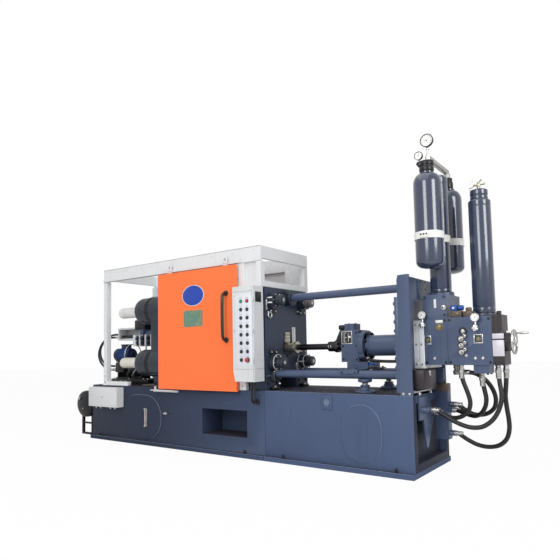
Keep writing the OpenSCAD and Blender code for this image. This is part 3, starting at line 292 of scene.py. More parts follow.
def build(name, parts, material, node, whole=False, smooth=38):
    """Joins parts, in millimetres, into one object at the origin that rides with its node's body.

    whole marks the piece that stands in for the node.
    """
    points = np.concatenate([p for p, _ in parts]) / 1000
    faces, start = [], 0
    for p, f in parts:
        faces += [[i + start for i in face] for face in f]
        start += len(p)
    mesh = bpy.data.meshes.new(name)
    mesh.from_pydata(points.tolist(), [], faces)
    mesh.validate()
    mesh.polygons.foreach_set("use_smooth", [True] * len(mesh.polygons))
    mesh.set_sharp_from_angle(angle=math.radians(smooth))
    mesh.materials.append(material)
    piece = bpy.data.objects.new(name, mesh)
    bpy.context.scene.collection.objects.link(piece)
    outwards(piece)
    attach(piece, nodes[node]["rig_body"])
    if whole:
        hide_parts(node)
    return piece


def build_set(node, whole=False, **pieces):
    """Builds several pieces of one node, each given by its name as (parts, material).

    whole marks that the first of them stands in for the node.
    """
    for name, (parts, material) in pieces.items():
        build(name, parts, material, node, whole)
        whole = False


def outwards(piece):
    """Points every face of the piece's closed shells outwards."""
    work = bmesh.new()
    work.from_mesh(piece.data)
    bmesh.ops.recalc_face_normals(work, faces=work.faces)
    work.to_mesh(piece.data)
    work.free()


# Shader groups

def put(tree, kind, settings=None, **inputs):
    """Adds a node; an input given as a socket is linked and anything else is its value."""
    new = tree.nodes.new(kind)
    for key, value in (settings or {}).items():
        setattr(new, key, value)
    for key, value in inputs.items():
        name = key.replace("_", " ")
        socket = new.inputs[int(name[1:])] if name[0] == "i" and name[1:].isdigit() else new.inputs[name]
        if isinstance(value, bpy.types.NodeSocket):
            tree.links.new(value, socket)
        else:
            socket.default_value = value
    return new


def shader_group(name, inputs, outputs):
    """An empty node group, the output of its coordinates, its inputs and its output node.

    Each input's kind follows from its value; the output Color is a colour, the others are numbers.
    """
    group = bpy.data.node_groups.new(name, "ShaderNodeTree")
    kinds = {3: "NodeSocketVector", 4: "NodeSocketColor"}
    for label, value in inputs.items():
        kind = kinds[len(value)] if isinstance(value, tuple) else "NodeSocketFloat"
        group.interface.new_socket(label, in_out="INPUT", socket_type=kind).default_value = value
    for label in outputs:
        kind = "NodeSocketColor" if label == "Color" else "NodeSocketFloat"
        group.interface.new_socket(label, in_out="OUTPUT", socket_type=kind)
    given, out = group.nodes.new("NodeGroupInput"), group.nodes.new("NodeGroupOutput")
    return group, group.nodes.new("ShaderNodeTexCoord").outputs["Object"], given.outputs, out


def feed(tree, node, **values):
    """Links a value to each named input of a node."""
    for key, value in values.items():
        tree.links.new(value, node.inputs[key.replace("_", " ")])


def noise(tree, vector, scale, detail=4.0, rough=0.55):
    """A noise value over a vector."""
    return put(tree, "ShaderNodeTexNoise", Vector=vector, Scale=scale, Detail=detail,
        Roughness=rough).outputs["Fac"]


def spread(tree, value, low, high, to_low=0.0, to_high=1.0):
    """A value's range mapped on to another and held there."""
    return put(tree, "ShaderNodeMapRange", {"clamp": True}, Value=value, From_Min=low, From_Max=high,
        To_Min=to_low, To_Max=to_high).outputs["Result"]


def maths(tree, operation, a, b=0.0):
    """One step of arithmetic on two values."""
    return put(tree, "ShaderNodeMath", {"operation": operation, "use_clamp": False}, i0=a, i1=b).outputs[0]


def mixed(tree, amount, a, b):
    """Two colours mixed by an amount."""
    new = put(tree, "ShaderNodeMix", {"data_type": "RGBA"})
    for index, value in ((0, amount), (6, a), (7, b)):
        if isinstance(value, bpy.types.NodeSocket):
            tree.links.new(value, new.inputs[index])
        else:
            new.inputs[index].default_value = value
    return new.outputs[2]


def stretched(tree, vector, scale):
    """Object coordinates scaled by three numbers."""
    return put(tree, "ShaderNodeMapping", Vector=vector, Scale=scale).outputs[0]


def times(tree, a, b):
    """The product of two values."""
    return maths(tree, "MULTIPLY", a, b)


def shop_dirt_group():
    """Workshop dirt on paint: blotches, runs down the walls and dust on what faces up.

    Dirt = amount x (blotches + runs) + dust x how far the normal points up.
    """
    group, where, given, out = shader_group("shop dirt",
        {"Paint": (0.5, 0.5, 0.5, 1), "Dirt": (0.1, 0.09, 0.08, 1), "Amount": 0.4, "Dust": 0.25,
        "Scale": 3.0, "Gloss Loss": 0.3, "Roughness": 0.4}, ("Color", "Roughness", "Mask"))
    normal = group.nodes.new("ShaderNodeNewGeometry").outputs["Normal"]
    facing = put(group, "ShaderNodeSeparateXYZ", Vector=normal)
    blotch = spread(group, noise(group, where, given["Scale"], 7.0, 0.62), 0.5, 0.78)
    runs = noise(group, stretched(group, where, (26.0, 26.0, 1.6)), 1.0, 3.0, 0.5)
    runs = spread(group, runs, 0.56, 0.75, 0.0, 0.7)
    up = spread(group, facing.outputs["Z"], 0.6, 0.98)
    speckle = spread(group, noise(group, where, 60.0, 5.0, 0.7), 0.35, 0.7)
    dust = times(group, times(group, up, speckle), given["Dust"])
    mask = times(group, maths(group, "ADD", blotch, runs), given["Amount"])
    mask = spread(group, maths(group, "ADD", mask, dust), 0.0, 1.0)
    colour = mixed(group, mask, given["Paint"], given["Dirt"])
    rough = maths(group, "ADD", times(group, mask, given["Gloss Loss"]), given["Roughness"])
    feed(group, out, Color=colour, Roughness=rough, Mask=mask)
    return group


def wear_group():
    """Chips and rubs that show bare metal: sparse cells of a Voronoi pattern cut by noise."""
    group, where, given, out = shader_group("wear", {"Color": (0.5, 0.5, 0.5, 1),
        "Bare": (0.35, 0.34, 0.33, 1), "Scale": 40.0, "Amount": 0.5}, ("Color", "Mask"))
    cells = put(group, "ShaderNodeTexVoronoi", Vector=where, Scale=given["Scale"]).outputs["Distance"]
    chips = spread(group, cells, 0.1, 0.06)
    rubbed = spread(group, noise(group, where, 5.0, 5.0, 0.7), 0.56, 0.66)
    mask = times(group, times(group, chips, rubbed), given["Amount"])
    feed(group, out, Color=mixed(group, mask, given["Color"], given["Bare"]), Mask=mask)
    return group


def skin_group():
    """Surface height: brushed paint's fine ripple and a casting's coarse grain."""
    group, where, given, out = shader_group("skin", {"Ripple": 0.5, "Grain": 0.0}, ("Height",))
    ripple = times(group, noise(group, where, 170.0, 2.0, 0.5), given["Ripple"])
    grain = times(group, noise(group, where, 90.0, 6.0, 0.75), given["Grain"])
    feed(group, out, Height=maths(group, "ADD", ripple, grain))
    return group


def tool_marks_group():
    """Fine lines left by a tool: noise drawn out along the direction of the cut."""
    group, where, given, out = shader_group("tool marks",
        {"Across": (40.0, 40.0, 40.0), "Light": (0.7, 0.7, 0.7, 1), "Dark": (0.4, 0.4, 0.4, 1),
        "Stain": 0.4, "Roughness": 0.3}, ("Color", "Roughness", "Height"))
    drawn = put(group, "ShaderNodeVectorMath", {"operation": "MULTIPLY"}, i0=where, i1=given["Across"])
    lines = noise(group, drawn.outputs[0], 10.0, 4.0, 0.6)
    stain = spread(group, noise(group, where, 9.0, 6.0, 0.65), 0.45, 0.75)
    stain = times(group, stain, given["Stain"])
    amount = spread(group, maths(group, "ADD", times(group, lines, 0.35), stain), 0.1, 0.9)
    colour = mixed(group, amount, given["Light"], given["Dark"])
    rough = maths(group, "ADD", times(group, amount, 0.25), given["Roughness"])
    feed(group, out, Color=colour, Roughness=rough, Height=lines)
    return group


shop_dirt = shop_dirt_group()
wear = wear_group()
skin = skin_group()
tool_marks = tool_marks_group()


# Materials

def new_material(name):
    """An empty material: (material, its tree, its Principled shader)."""
    material = bpy.data.materials.new(name)
    material.use_nodes = True
    tree = material.node_tree
    return material, tree, tree.nodes["Principled BSDF"]


def use(tree, group, **inputs):
    """Places a group in a material with its own values."""
    return put(tree, "ShaderNodeGroup", {"node_tree": group}, **inputs)


def bump(tree, shader, height, strength, distance=0.001):
    """Feeds a height into the shader's normal."""
    node = put(tree, "ShaderNodeBump", Height=height, Strength=strength, Distance=distance)
    tree.links.new(node.outputs["Normal"], shader.inputs["Normal"])


def enamel(name, colour, dirt=(46, 42, 38), amount=0.3, dust=0.2, roughness=0.38, scale=3.0, grain=0.0,
    chips=0.5, coat=0.15, shine=0.35, coat_blur=0.25, painted_falloff=None):
    """Machine enamel over steel or a casting, with dirt, chips and a slight ripple.

    A second colour given as the last argument is what the first turns into between two places along X: a
    painted falloff of light, with painted shade at the darker end.
    """
    material, tree, shader = new_material(name)
    colour = paint(*colour)
    if painted_falloff:
        along = put(tree, "ShaderNodeSeparateXYZ",
            Vector=tree.nodes.new("ShaderNodeTexCoord").outputs["Object"]).outputs["X"]
        colour = mixed(tree, spread(tree, along, painted_falloff[1], painted_falloff[2]), colour, paint(*painted_falloff[0]))
    chipped = use(tree, wear, Color=colour, Bare=paint(130, 126, 120), Amount=chips)
    dirty = use(tree, shop_dirt, Paint=chipped.outputs["Color"], Dirt=paint(*dirt), Amount=amount,
        Dust=dust, Scale=scale, Roughness=roughness).outputs
    feed(tree, shader, Base_Color=dirty["Color"], Roughness=dirty["Roughness"])
    shader.inputs["Specular IOR Level"].default_value = shine
    shader.inputs["Coat Weight"].default_value = coat
    shader.inputs["Coat Roughness"].default_value = coat_blur
    height = use(tree, skin, Ripple=0.35, Grain=grain)
    bump(tree, shader, height.outputs["Height"], 0.35 if grain else 0.12)
    return material


def bright_metal(name, light, dark, across=(40.0, 40.0, 40.0), stain=0.35, roughness=0.28):
    """Machined or ground metal with tool marks and oil stains."""
    material, tree, shader = new_material(name)
    marks = use(tree, tool_marks, Across=across, Light=paint(*light), Dark=paint(*dark), Stain=stain,
        Roughness=roughness).outputs
    feed(tree, shader, Base_Color=marks["Color"], Roughness=marks["Roughness"])
    shader.inputs["Metallic"].default_value = 1.0
    bump(tree, shader, marks["Height"], 0.15, 0.0005)
    return material


def moulded(name, colour, roughness=0.4, dirt=(60, 56, 50), amount=0.15, coat=0.0, ripple=0.3):
    """Moulded plastic or rubber with a fine grain and handling marks."""
    material, tree, shader = new_material(name)
    dirty = use(tree, shop_dirt, Paint=paint(*colour), Dirt=paint(*dirt), Amount=amount, Dust=0.15,
        Scale=9.0, Roughness=roughness).outputs
    feed(tree, shader, Base_Color=dirty["Color"], Roughness=dirty["Roughness"])
    shader.inputs["Coat Weight"].default_value = coat
    bump(tree, shader, use(tree, skin, Ripple=ripple, Grain=0.2).outputs["Height"], 0.2)
    return material


bottle_paint = enamel("bottle enamel", (50, 60, 84), (34, 38, 48), 0.2, 0.2, 0.2, coat=1.0, shine=0.4,
    coat_blur=0.12)
slate = enamel("slate enamel", (74, 88, 116), (40, 45, 57), 0.24, 0.2, 0.32, coat=0.25, shine=0.3)
slate_cast = enamel("slate enamel on castings", (70, 83, 109), (38, 42, 53), 0.3, 0.25, 0.38, grain=0.6,
    coat=0.2, shine=0.3)
deep_slate = enamel("deep slate enamel", (60, 66, 88), (36, 36, 42), 0.35, 0.3, 0.34, coat=0.3)
platen_paint = enamel("platen enamel", (50, 60, 80), (34, 37, 44), 0.35, 0.25, 0.4, grain=0.5, shine=0.25)
orange = enamel("orange door enamel", (255, 122, 66), (232, 108, 54), 0.2, 0.04, 0.45, chips=0.12,
    shine=0.2)
white_coat = enamel("white powder coat", (222, 224, 226), (172, 172, 170), 0.2, 0.08, 0.45, chips=0.1)
pale_grey = enamel("pale grey box enamel", (214, 216, 218), (168, 168, 168), 0.2, 0.08, 0.42, chips=0.1)
band_white = enamel("white band enamel", (236, 236, 232), (150, 148, 142), 0.3, 0.1, 0.42, chips=0.3)
black_enamel = enamel("black enamel", (27, 27, 31), (52, 49, 46), 0.25, 0.3, 0.34, shine=0.3)
motor_blue = enamel("motor blue enamel", (26, 76, 150), (26, 34, 54), 0.5, 0.3, 0.36, scale=12.0)
tie_chrome = bright_metal("ground tie bar steel", (214, 214, 212), (150, 146, 138), (2.0, 40.0, 40.0),
    0.35, 0.18)
ground_steel = bright_metal("ground steel", (224, 224, 222), (150, 148, 144), (40.0, 40.0, 4.0), 0.35, 0.26)
oily_way = bright_metal("oily slide way steel", (150, 138, 122), (84, 74, 62), (2.0, 50.0, 50.0), 0.6, 0.34)
brassy = bright_metal("sleeve bronze", (206, 200, 182), (140, 132, 112), (30.0, 30.0, 30.0), 0.4, 0.4)
black_steel = bright_metal("blackened steel", (66, 66, 70), (30, 30, 32), (3.0, 50.0, 50.0), 0.3, 0.3)
fitting_zinc = bright_metal("zinc plated fitting", (206, 206, 204), (140, 136, 128), (60.0, 60.0, 60.0),
    0.35, 0.28)
hose_rubber = moulded("hose rubber", (22, 22, 24), 0.45, (70, 66, 60), 0.2)
black_plastic = moulded("black plastic", (20, 20, 22), 0.38, coat=0.2)
red_plastic = moulded("red button plastic", (196, 30, 36), 0.32, coat=0.4)
sign_blue = enamel("blue sign enamel", (28, 66, 168), (24, 44, 110), 0.3, 0.05, 0.3, coat=0.3)
sign_white = enamel("white sign rim", (206, 212, 224), (150, 156, 170), 0.3, 0.05, 0.35, coat=0.2)
bright_flange = enamel("bright ground flange", (252, 254, 255), (196, 202, 210), 0.3, 0.05, 0.3, grain=0.1,
    coat=0.5, shine=0.7)
worn_grey = enamel("worn grey enamel", (104, 100, 102), (52, 48, 48), 0.5, 0.3, 0.4, chips=1.0)
# Painted shade: a darker enamel for thin sheets laid over the bed's end faces, so that they read as being in
# shade.
painted_end_shade = enamel("bed end enamel for painted shade", (46, 50, 66), (34, 31, 34), 0.45, 0.3, 0.5, coat=0.0, shine=0.2)
umber = enamel("dark umber enamel", (50, 43, 47), (30, 28, 30), 0.4, 0.25, 0.4, shine=0.3)
# Painted highlight: a grey lighter than the bed paint. It colours the cover weld beads and thin edge strips
# so that they read as lit edges, and it also colours the tab mark.
mark_and_highlight_grey = enamel("worn mark and painted highlight enamel", (112, 124, 150), (60, 66, 80), 0.4, 0.1, 0.45)
panel_grey = enamel("operating panel enamel", (220, 225, 232), (170, 172, 172), 0.18, 0.06, 0.38,
    chips=0.05)
seam_grey = enamel("shaded seam enamel", (150, 152, 156), (90, 88, 84), 0.4, 0.1, 0.5)
cream = enamel("cream cap enamel", (226, 223, 211), (170, 160, 136), 0.35, 0.15, 0.42)
coil_blue = enamel("dark coil enamel", (20, 32, 66), (18, 20, 28), 0.4, 0.2, 0.36, coat=0.2)
bonnet_steel = enamel("pale bonnet steel", (206, 204, 213), (150, 146, 156), 0.4, 0.1, 0.3, coat=0.4)
cover_white = moulded("ribbed cover plastic", (222, 222, 220), 0.36, (150, 148, 144), 0.3, coat=0.2)
nut_enamel = enamel("nut casing enamel", (38, 45, 57), (24, 24, 28), 0.42, 0.3, 0.34, coat=0.3, shine=0.3)
# Painted shade: the clamp side bed gets a darker blue than the injection side bed, and it darkens further
# towards its left end, where the light falls off.
shaded_clamp_bed_paint = enamel("clamp side bed enamel with painted shade", (44, 52, 71), (46, 38, 38), 0.16, 1.9, 0.5, coat=0.0,
    shine=0.2, painted_falloff=((64, 78, 106), -0.9, 0.6))
shot_bed_paint = enamel("injection side bed enamel", (74, 89, 120), (50, 41, 40), 0.14, 1.9, 0.48,
    coat=0.0, shine=0.2)
bezel_dark = moulded("bezel plastic", (70, 72, 76), 0.34, coat=0.2)
green_plastic = moulded("green button plastic", (30, 150, 112), 0.32, coat=0.4)
legend_grey = moulded("legend plate plastic", (196, 199, 203), 0.4)
oil_glass = moulded("oil filled sight tube", (186, 170, 176), 0.12, (140, 116, 104), 0.3, coat=0.8)
plate_green = enamel("green and gold plate", (96, 134, 116), (168, 150, 84), 0.9, 0.0, 0.3, scale=14.0,
    coat=0.4)
dial_white = moulded("dial white", (244, 244, 240), 0.3, (200, 196, 186), 0.1, 0.5, 0.1)
olive_brass = bright_metal("olive passivated steel", (150, 136, 96), (84, 76, 54), (40.0, 40.0, 40.0), 0.4,
    0.34)
brick = enamel("brown valve enamel", (98, 84, 74), (50, 46, 42), 0.3, 0.3)

# Which nodes wear each finish
finished_nodes = ((shaded_clamp_bed_paint, "bed_left"), (shot_bed_paint, "bed_right bed_covers"),
    (oily_way, "slide_ways"), (platen_paint, "fixed_platen moving_platen toggle_links"),
    (nut_enamel, "rear_platen tie_bar_nuts"), (tie_chrome, "tie_bars"),
    (black_enamel, "geared_nuts rod_mounts pump_motors clamp_valves aux_tank"),
    (ground_steel, "toggle_pins wheel_spindle level_gauge"), (slate_cast, "crosshead shot_flange"),
    (slate, "clamp_cylinder ejector shot_head shot_cylinder shot_pedestal support_jack injection_rods"),
    (slate, "end_frame end_flange valve_block upper_block accumulator_column accumulator_right"),
    (slate, "bed_end_fittings"), (brassy, "shot_sleeve"), (black_steel, "plunger"),
    (bright_flange, "steel_flanges"), (umber, "end_valve"),
    (fitting_zinc, "block_valves handwheel block_gauges bottle_pipework"),
    (bottle_paint, "gas_bottles"), (band_white, "bottle_bands"),
    (white_coat, "guard_frame door_rails rear_door"), (orange, "front_door"),
    (black_plastic, "door_handle control_buttons"), (pale_grey, "control_box junction_box"),
    (hose_rubber, "conduit"))
node_finish = {label: finish for finish, labels in finished_nodes for label in labels.split()}

for label, finish in node_finish.items():
    piece_mesh = nodes[label].data
    if len(piece_mesh.materials) == 0:
        piece_mesh.materials.append(finish)
    for place in nodes[label].material_slots:
        place.material = finish


# Camera and hoses

aim_camera()

# Diameter and route of each hose in millimetres, as in the part's source
hose_routes = {"hose_1": (34, [(2300, -150, 815), (2300, -150, 789), (2309, -149, 733), (2327, -147, 679),
    (2344, -143, 625), (2353, -139, 569), (2339, -132, 514), (2301, -124, 473), (2251, -116, 448),
    (2195, -108, 444), (2140, -102, 460), (2088, -100, 480), (2062, -100, 480)]),
    "hose_2": (34, [(2280, -80, 795.5), (2306, -80, 795.5), (2371, -63, 787), (2427, -40, 752),
    (2467, -13, 701), (2490, 17, 641), (2494, 46, 578), (2474, 75, 517), (2426, 98, 472), (2362, 114, 450),
    (2293, 126, 453), (2230, 134, 483), (2171, 140, 520), (2145, 140, 520)]),
    "hose_3": (34, [(2440, -105, 755), (2440, -105, 729), (2451, -98, 662), (2457, -84, 594),
    (2440, -65, 530), (2402, -39, 479), (2349, -5, 453), (2291, 32, 454), (2232, 65, 466), (2171, 95, 480),
    (2145, 95, 480)]), "hose_4": (34, [(2562, -120, 815), (2562, -120, 789), (2569, -123, 714),
    (2579, -129, 640), (2571, -136, 566), (2544, -144, 496), (2499, -150, 436), (2436, -157, 395),
    (2362, -162, 386), (2289, -164, 402), (2220, -166, 432), (2155, -166, 471), (2088, -165, 503),
    (2062, -165, 503)]), "hose_5": (34, [(2600, -45, 815), (2600, -45, 789), (2593, -41, 702),
    (2582, -29, 617), (2583, -9, 532), (2587, 15, 448), (2583, 38, 364), (2556, 59, 285), (2494, 81, 228),
    (2412, 98, 206), (2326, 110, 213), (2246, 118, 245), (2171, 120, 290), (2145, 120, 290)]),
    "hose_6": (26, [(-1959, 30, 1225), (-1985, 30, 1225), (-2087, 29, 1229), (-2188, 26, 1224),
    (-2285, 21, 1193), (-2365, 14, 1131), (-2411, 5, 1043), (-2387, -4, 946), (-2316, -12, 875),
    (-2221, -17, 839), (-2120, -19, 832), (-2018, -20, 830), (-1992, -20, 830)]),
    "hose_7": (26, [(-1959, -40, 1190), (-1985, -40, 1190), (-2082, -43, 1191), (-2179, -48, 1184),
    (-2264, -56, 1140), (-2322, -65, 1063), (-2334, -75, 969), (-2285, -84, 887), (-2206, -90, 831),
    (-2115, -94, 798), (-2018, -95, 790), (-1992, -95, 790)])}


def lay_hoses():
    """Each hose as a tube along its route, with a crimped ferrule and nut at both ends."""
    for name, (width, route) in hose_routes.items():
        line = smooth_route(np.array(route, float), 14)
        half = width / 2
        rubber = build(name + "_rubber", [hose_tube(line, half, 14)], hose_rubber, name, whole=True)
        ferrules = []
        for end, inwards in ((line[0], line[2] - line[0]), (line[-1], line[-3] - line[-1])):
            grip = half * 1.18
            steps = [(0.6, half * 0.7), (0.6, half * 1.36), (20, half * 1.36), (21, grip)]
            for k in range(6):
                steps += [(23 + 6 * k, grip), (24.5 + 6 * k, grip * 0.94), (26 + 6 * k, grip)]
            steps += [(62, grip), (63, half * 1.02)]
            ferrules.append(turned(steps, end, inwards, 18))
        ends = build(name + "_ferrules", ferrules, fitting_zinc, name)


lay_hoses()


# Softened castings and weldments

def soften(name, width=3.0):
    """A CAD node's own solid, merged, with its sharp edges rounded over by a few millimetres."""
    node = nodes[name]
    mesh = node.data.copy()
    mesh.name = name + "_body"
    work = bmesh.new()
    work.from_mesh(mesh)
    bmesh.ops.remove_doubles(work, verts=work.verts, dist=2e-05)
    bmesh.ops.dissolve_limit(work, angle_limit=math.radians(1.2), use_dissolve_boundaries=False,
        verts=work.verts, edges=work.edges)
    for face in work.faces:
        face.smooth = True
    work.to_mesh(mesh)
    work.free()
    mesh.materials.clear()
    mesh.materials.append(node_finish[name])
    piece = bpy.data.objects.new(name + "_body", mesh)
    bpy.context.scene.collection.objects.link(piece)
    rounding = piece.modifiers.new("eased edges", "BEVEL")
    rounding.width = width / 1000
    rounding.segments = 2
    rounding.limit_method = "ANGLE"
    rounding.angle_limit = math.radians(32)
    rounding.harden_normals = True
    rounding.use_clamp_overlap = True
    mesh.set_sharp_from_angle(angle=math.radians(60))
    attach(piece, node["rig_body"])
    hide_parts(name)
    return piece


for label, width in {"bed_left": 4, "bed_right": 4, "fixed_platen": 5, "moving_platen": 5,
        "rear_platen": 5, "end_frame": 5, "steel_flanges": 2.5, "valve_block": 3, "upper_block": 3,
        "shot_head": 3, "shot_pedestal": 3, "tie_bar_nuts": 3, "guard_frame": 4, "door_rails": 2,
        "control_box": 4, "junction_box": 4, "end_valve": 3, "toggle_links": 4, "crosshead": 3,
        "bed_end_fittings": 2.5, "clamp_cylinder": 3, "injection_rods": 3, "slide_ways": 2, "rear_door": 4,
        "toggle_pins": 3, "ejector": 3, "shot_sleeve": 1.5}.items():
    soften(label, width)


# Fasteners

def socket_screw(place, out, width, high=None):
    """A socket head screw standing on a face: a knurled drum with a hexagon pocket."""
    r = width / 2
    high = high or width * 0.62
    return turned([(0, r), (high - r * 0.12, r), (high, r * 0.86), (high, r * 0.5),
        (high * 0.45, r * 0.48), (high * 0.42, 0)], place, out, 14)


def hex_head(place, out, width, high=None):
    """A hexagon head on its washer."""
    high = high or width * 0.45
    washer = turned([(0, 0), (0, width * 0.62), (width * 0.1, width * 0.62), (width * 0.1, 0)], place, out,
        18)
    head = turned([(width * 0.1, 0), (width * 0.1, width / 2), (high, width / 2),
        (high + width * 0.06, width * 0.42), (high + width * 0.06, 0)], place, out, 6, 0.3)
    return [washer, head]


def hoop(profile, start, axis, sides=32):
    """A closed ring: an outline of (along, radius) pairs turned about an axis."""
    points, _ = turned(profile, start, axis, sides)
    grid_points = points.reshape(len(profile), sides, 3)
    return surface(grid_points, round_rows=True, round_columns=True)


# Gas bottles and accumulators

# Where each of them stands, along and across the machine
FRONT_BOTTLE, REAR_BOTTLE, COLUMN = (2111.5, -205.5), (2137.5, 223.5), (2119.5, 0)


def shoulder(radius, low, high, neck, steps=12):
    """Profile of a dished end: radius falls from the shell to the neck as a quarter ellipse."""
    t = np.linspace(0, np.pi / 2, steps)
    return [(low + (high - low) * math.sin(a), neck + (radius - neck) * math.cos(a)) for a in t]


def gas_bottles():
    """Two seamless steel bottles, each with a dished top, a neck ring and a rounded foot."""
    for name, place, top in (("gas_bottle_front", FRONT_BOTTLE, 773), ("gas_bottle_rear", REAR_BOTTLE, 725)):
        foot = [(4 + 50 * (1 - math.cos(a)), 49.5 + 60 * math.sin(a)) for a in np.linspace(0, np.pi / 2, 9)]
        profile = [(0, 0), (0, 40)] + foot + [(300, 109.5), (560, 109.5)]
        profile += shoulder(109.5, top - 100, top - 14, 50)
        profile += [(top - 12, 56), (top - 2, 56), (top - 0.5, 53), (top - 0.3, 0)]
        bottle = turned(profile, (*place, 1612.5), UP, 56)
        build(name, [bottle], bottle_paint, "gas_bottles", whole=True)


def bottle_straps():
    """White clamp bands: three hoops with rolled edges, joined by bolted clamp blocks."""
    z, high = 1838.5, 57
    parts, bolts = [], []
    for place, r in ((FRONT_BOTTLE, 109.8), (REAR_BOTTLE, 109.8), (COLUMN, 84.3)):
        outline = [(0, r), (high, r), (high, r + 6.2), (high - 6, r + 6.8), (high - 8, r + 5.2),
            (8, r + 5.2), (6, r + 6.8), (0, r + 6.2)]
        parts.append(hoop(outline, (*place, z), UP, 48))
    for y, w in ((-92, 12), (102, 18)):
        parts.append(block((2087, y - w, z + 3), (2152, y + w, z + high - 3), 3))
        for up in (15, 42):
            bolts += hex_head((2152, y, z + up), RIGHT, 13)
            bolts += hex_head((2087, y, z + up), LEFT, 13)
    for (x, y), s in ((FRONT_BOTTLE, -1), (REAR_BOTTLE, 1)):
        lug_y = y + s * 116
        parts.append(block((x - 34, min(lug_y, lug_y + s * 10), z + 6),
            (x + 34, max(lug_y, lug_y + s * 10), z + high - 6), 2))
        for across in (-22, 0, 22):
            bolts += hex_head((x + across, lug_y + s * 10, z + high / 2), (0, s, 0), 12)
    build_set("bottle_bands", whole=True, bottle_straps=(parts, band_white),
        bottle_strap_bolts=(bolts, black_enamel))


def gauge(place, width, deep, reading, parts):
    """A pressure gauge: a case with a rolled bezel, a sunk dial, ticks and a needle.

    parts gathers the shapes by finish. The needle turns 110 degrees from the middle at a reading of 1.
    """
    r = width / 2
    place = np.array(place, float)
    parts["cases"].append(turned([(0, 0), (0, r * 0.86), (deep * 0.12, r * 0.94), (deep * 0.75, r * 0.94),
        (deep * 0.78, r), (deep * 0.95, r), (deep, r * 0.96), (deep, r * 0.9), (deep * 0.9, r * 0.88),
        (deep * 0.86, r * 0.86)], place, FRONT, 36))
    parts["dials"].append(turned([(deep * 0.84, 0), (deep * 0.84, r * 0.875), (deep * 0.885, r * 0.875),
        (deep * 0.885, 0)], place, FRONT, 36))
    face = place + (0, -deep * 0.886, 0)

    def mark(degrees, near, far, near_width, far_width):
        """The corners of a mark along a ray of the dial, in shares of its radius."""
        a = math.radians(90 - degrees)
        ray = r * np.array((-math.cos(a), 0, math.sin(a)))
        cross = r * np.array((math.sin(a), 0, math.cos(a)))
        return np.array([face + ray * near - cross * near_width, face + ray * far - cross * far_width,
            face + ray * far + cross * far_width, face + ray * near + cross * near_width])

    for k, degrees in enumerate(np.linspace(-135, 135, 28)):
        long, wide = (0.17, 0.022) if k % 3 == 0 else (0.09, 0.012)
        parts["marks"].append(slab(mark(degrees, 0.8 - long, 0.8, wide, wide), FRONT, r * 0.012, r * 0.002))
    needle = mark(-110 * reading, -0.18, 0.62, 0.035, 0.008) + (0, -r * 0.02, 0)
    parts["marks"] += [slab(needle, FRONT, r * 0.02, r * 0.003),
        drum(face, FRONT, r * 0.07, r * 0.09, r * 0.01, 14)]


def gauges(name, node, metal, *dials):
    """Builds a set of gauges, each given as (place, width, depth, reading), by its three finishes."""
    parts = {"cases": [], "dials": [], "marks": []}
    for dial in dials:
        gauge(*dial, parts)
    for kind, material in (("cases", metal), ("dials", dial_white), ("marks", black_plastic)):
        build(f"{name}_gauge_{kind}", parts[kind], material, node)


def star_knob(place, width, arms=5):
    """A star knob that faces the operator: its radius waves as it is turned, between two eased rims."""
    t = np.linspace(0, 2 * np.pi, arms * 8, endpoint=False)
    wave = 1 + 0.13 * np.cos(arms * t)
    axis, u, v = square_to(FRONT)
    ring = np.cos(t)[:, None] * u + np.sin(t)[:, None] * v
    rows = []
    for along, share in ((0, 0.8), (0.06, 0.93), (0.12, 1.0), (0.3, 1.0), (0.36, 0.93), (0.4, 0.74),
            (0.4, 0.35), (0.44, 0.3), (0.44, 0.0001)):
        r = width / 2 * share * (wave if share > 0.5 else 1 + 0 * t)
        rows.append(np.array(place) + axis * along * width + r[:, None] * ring)
    return closed(np.array(rows))


def ringed(stations, start, axis, sides=32, r=1.2):
    """A stepped turned part: (along, radius) stations with eased corners."""
    return turned(eased([(stations[0][0], 0)] + list(stations) + [(stations[-1][0], 0)], r), start, axis,
        sides)


def heads_at(kind, places, axis, *sizes):
    """A screw head at each place; kind is socket_screw, or hex_head, which is made of two shapes."""
    made = [kind(np.array(place, float), axis, *sizes) for place in places]
    return [shape for head in made for shape in (head if isinstance(head, list) else [head])]


def bolt_circle(centre, axis, radius, count, width, kind, first=0.0):
    """Screw heads spread evenly round an axis."""
    _, u, v = square_to(axis)
    angles = [first + 2 * math.pi * k / count for k in range(count)]
    places = [np.array(centre, float) + radius * (math.cos(a) * u + math.sin(a) * v) for a in angles]
    return heads_at(kind, places, axis, width)


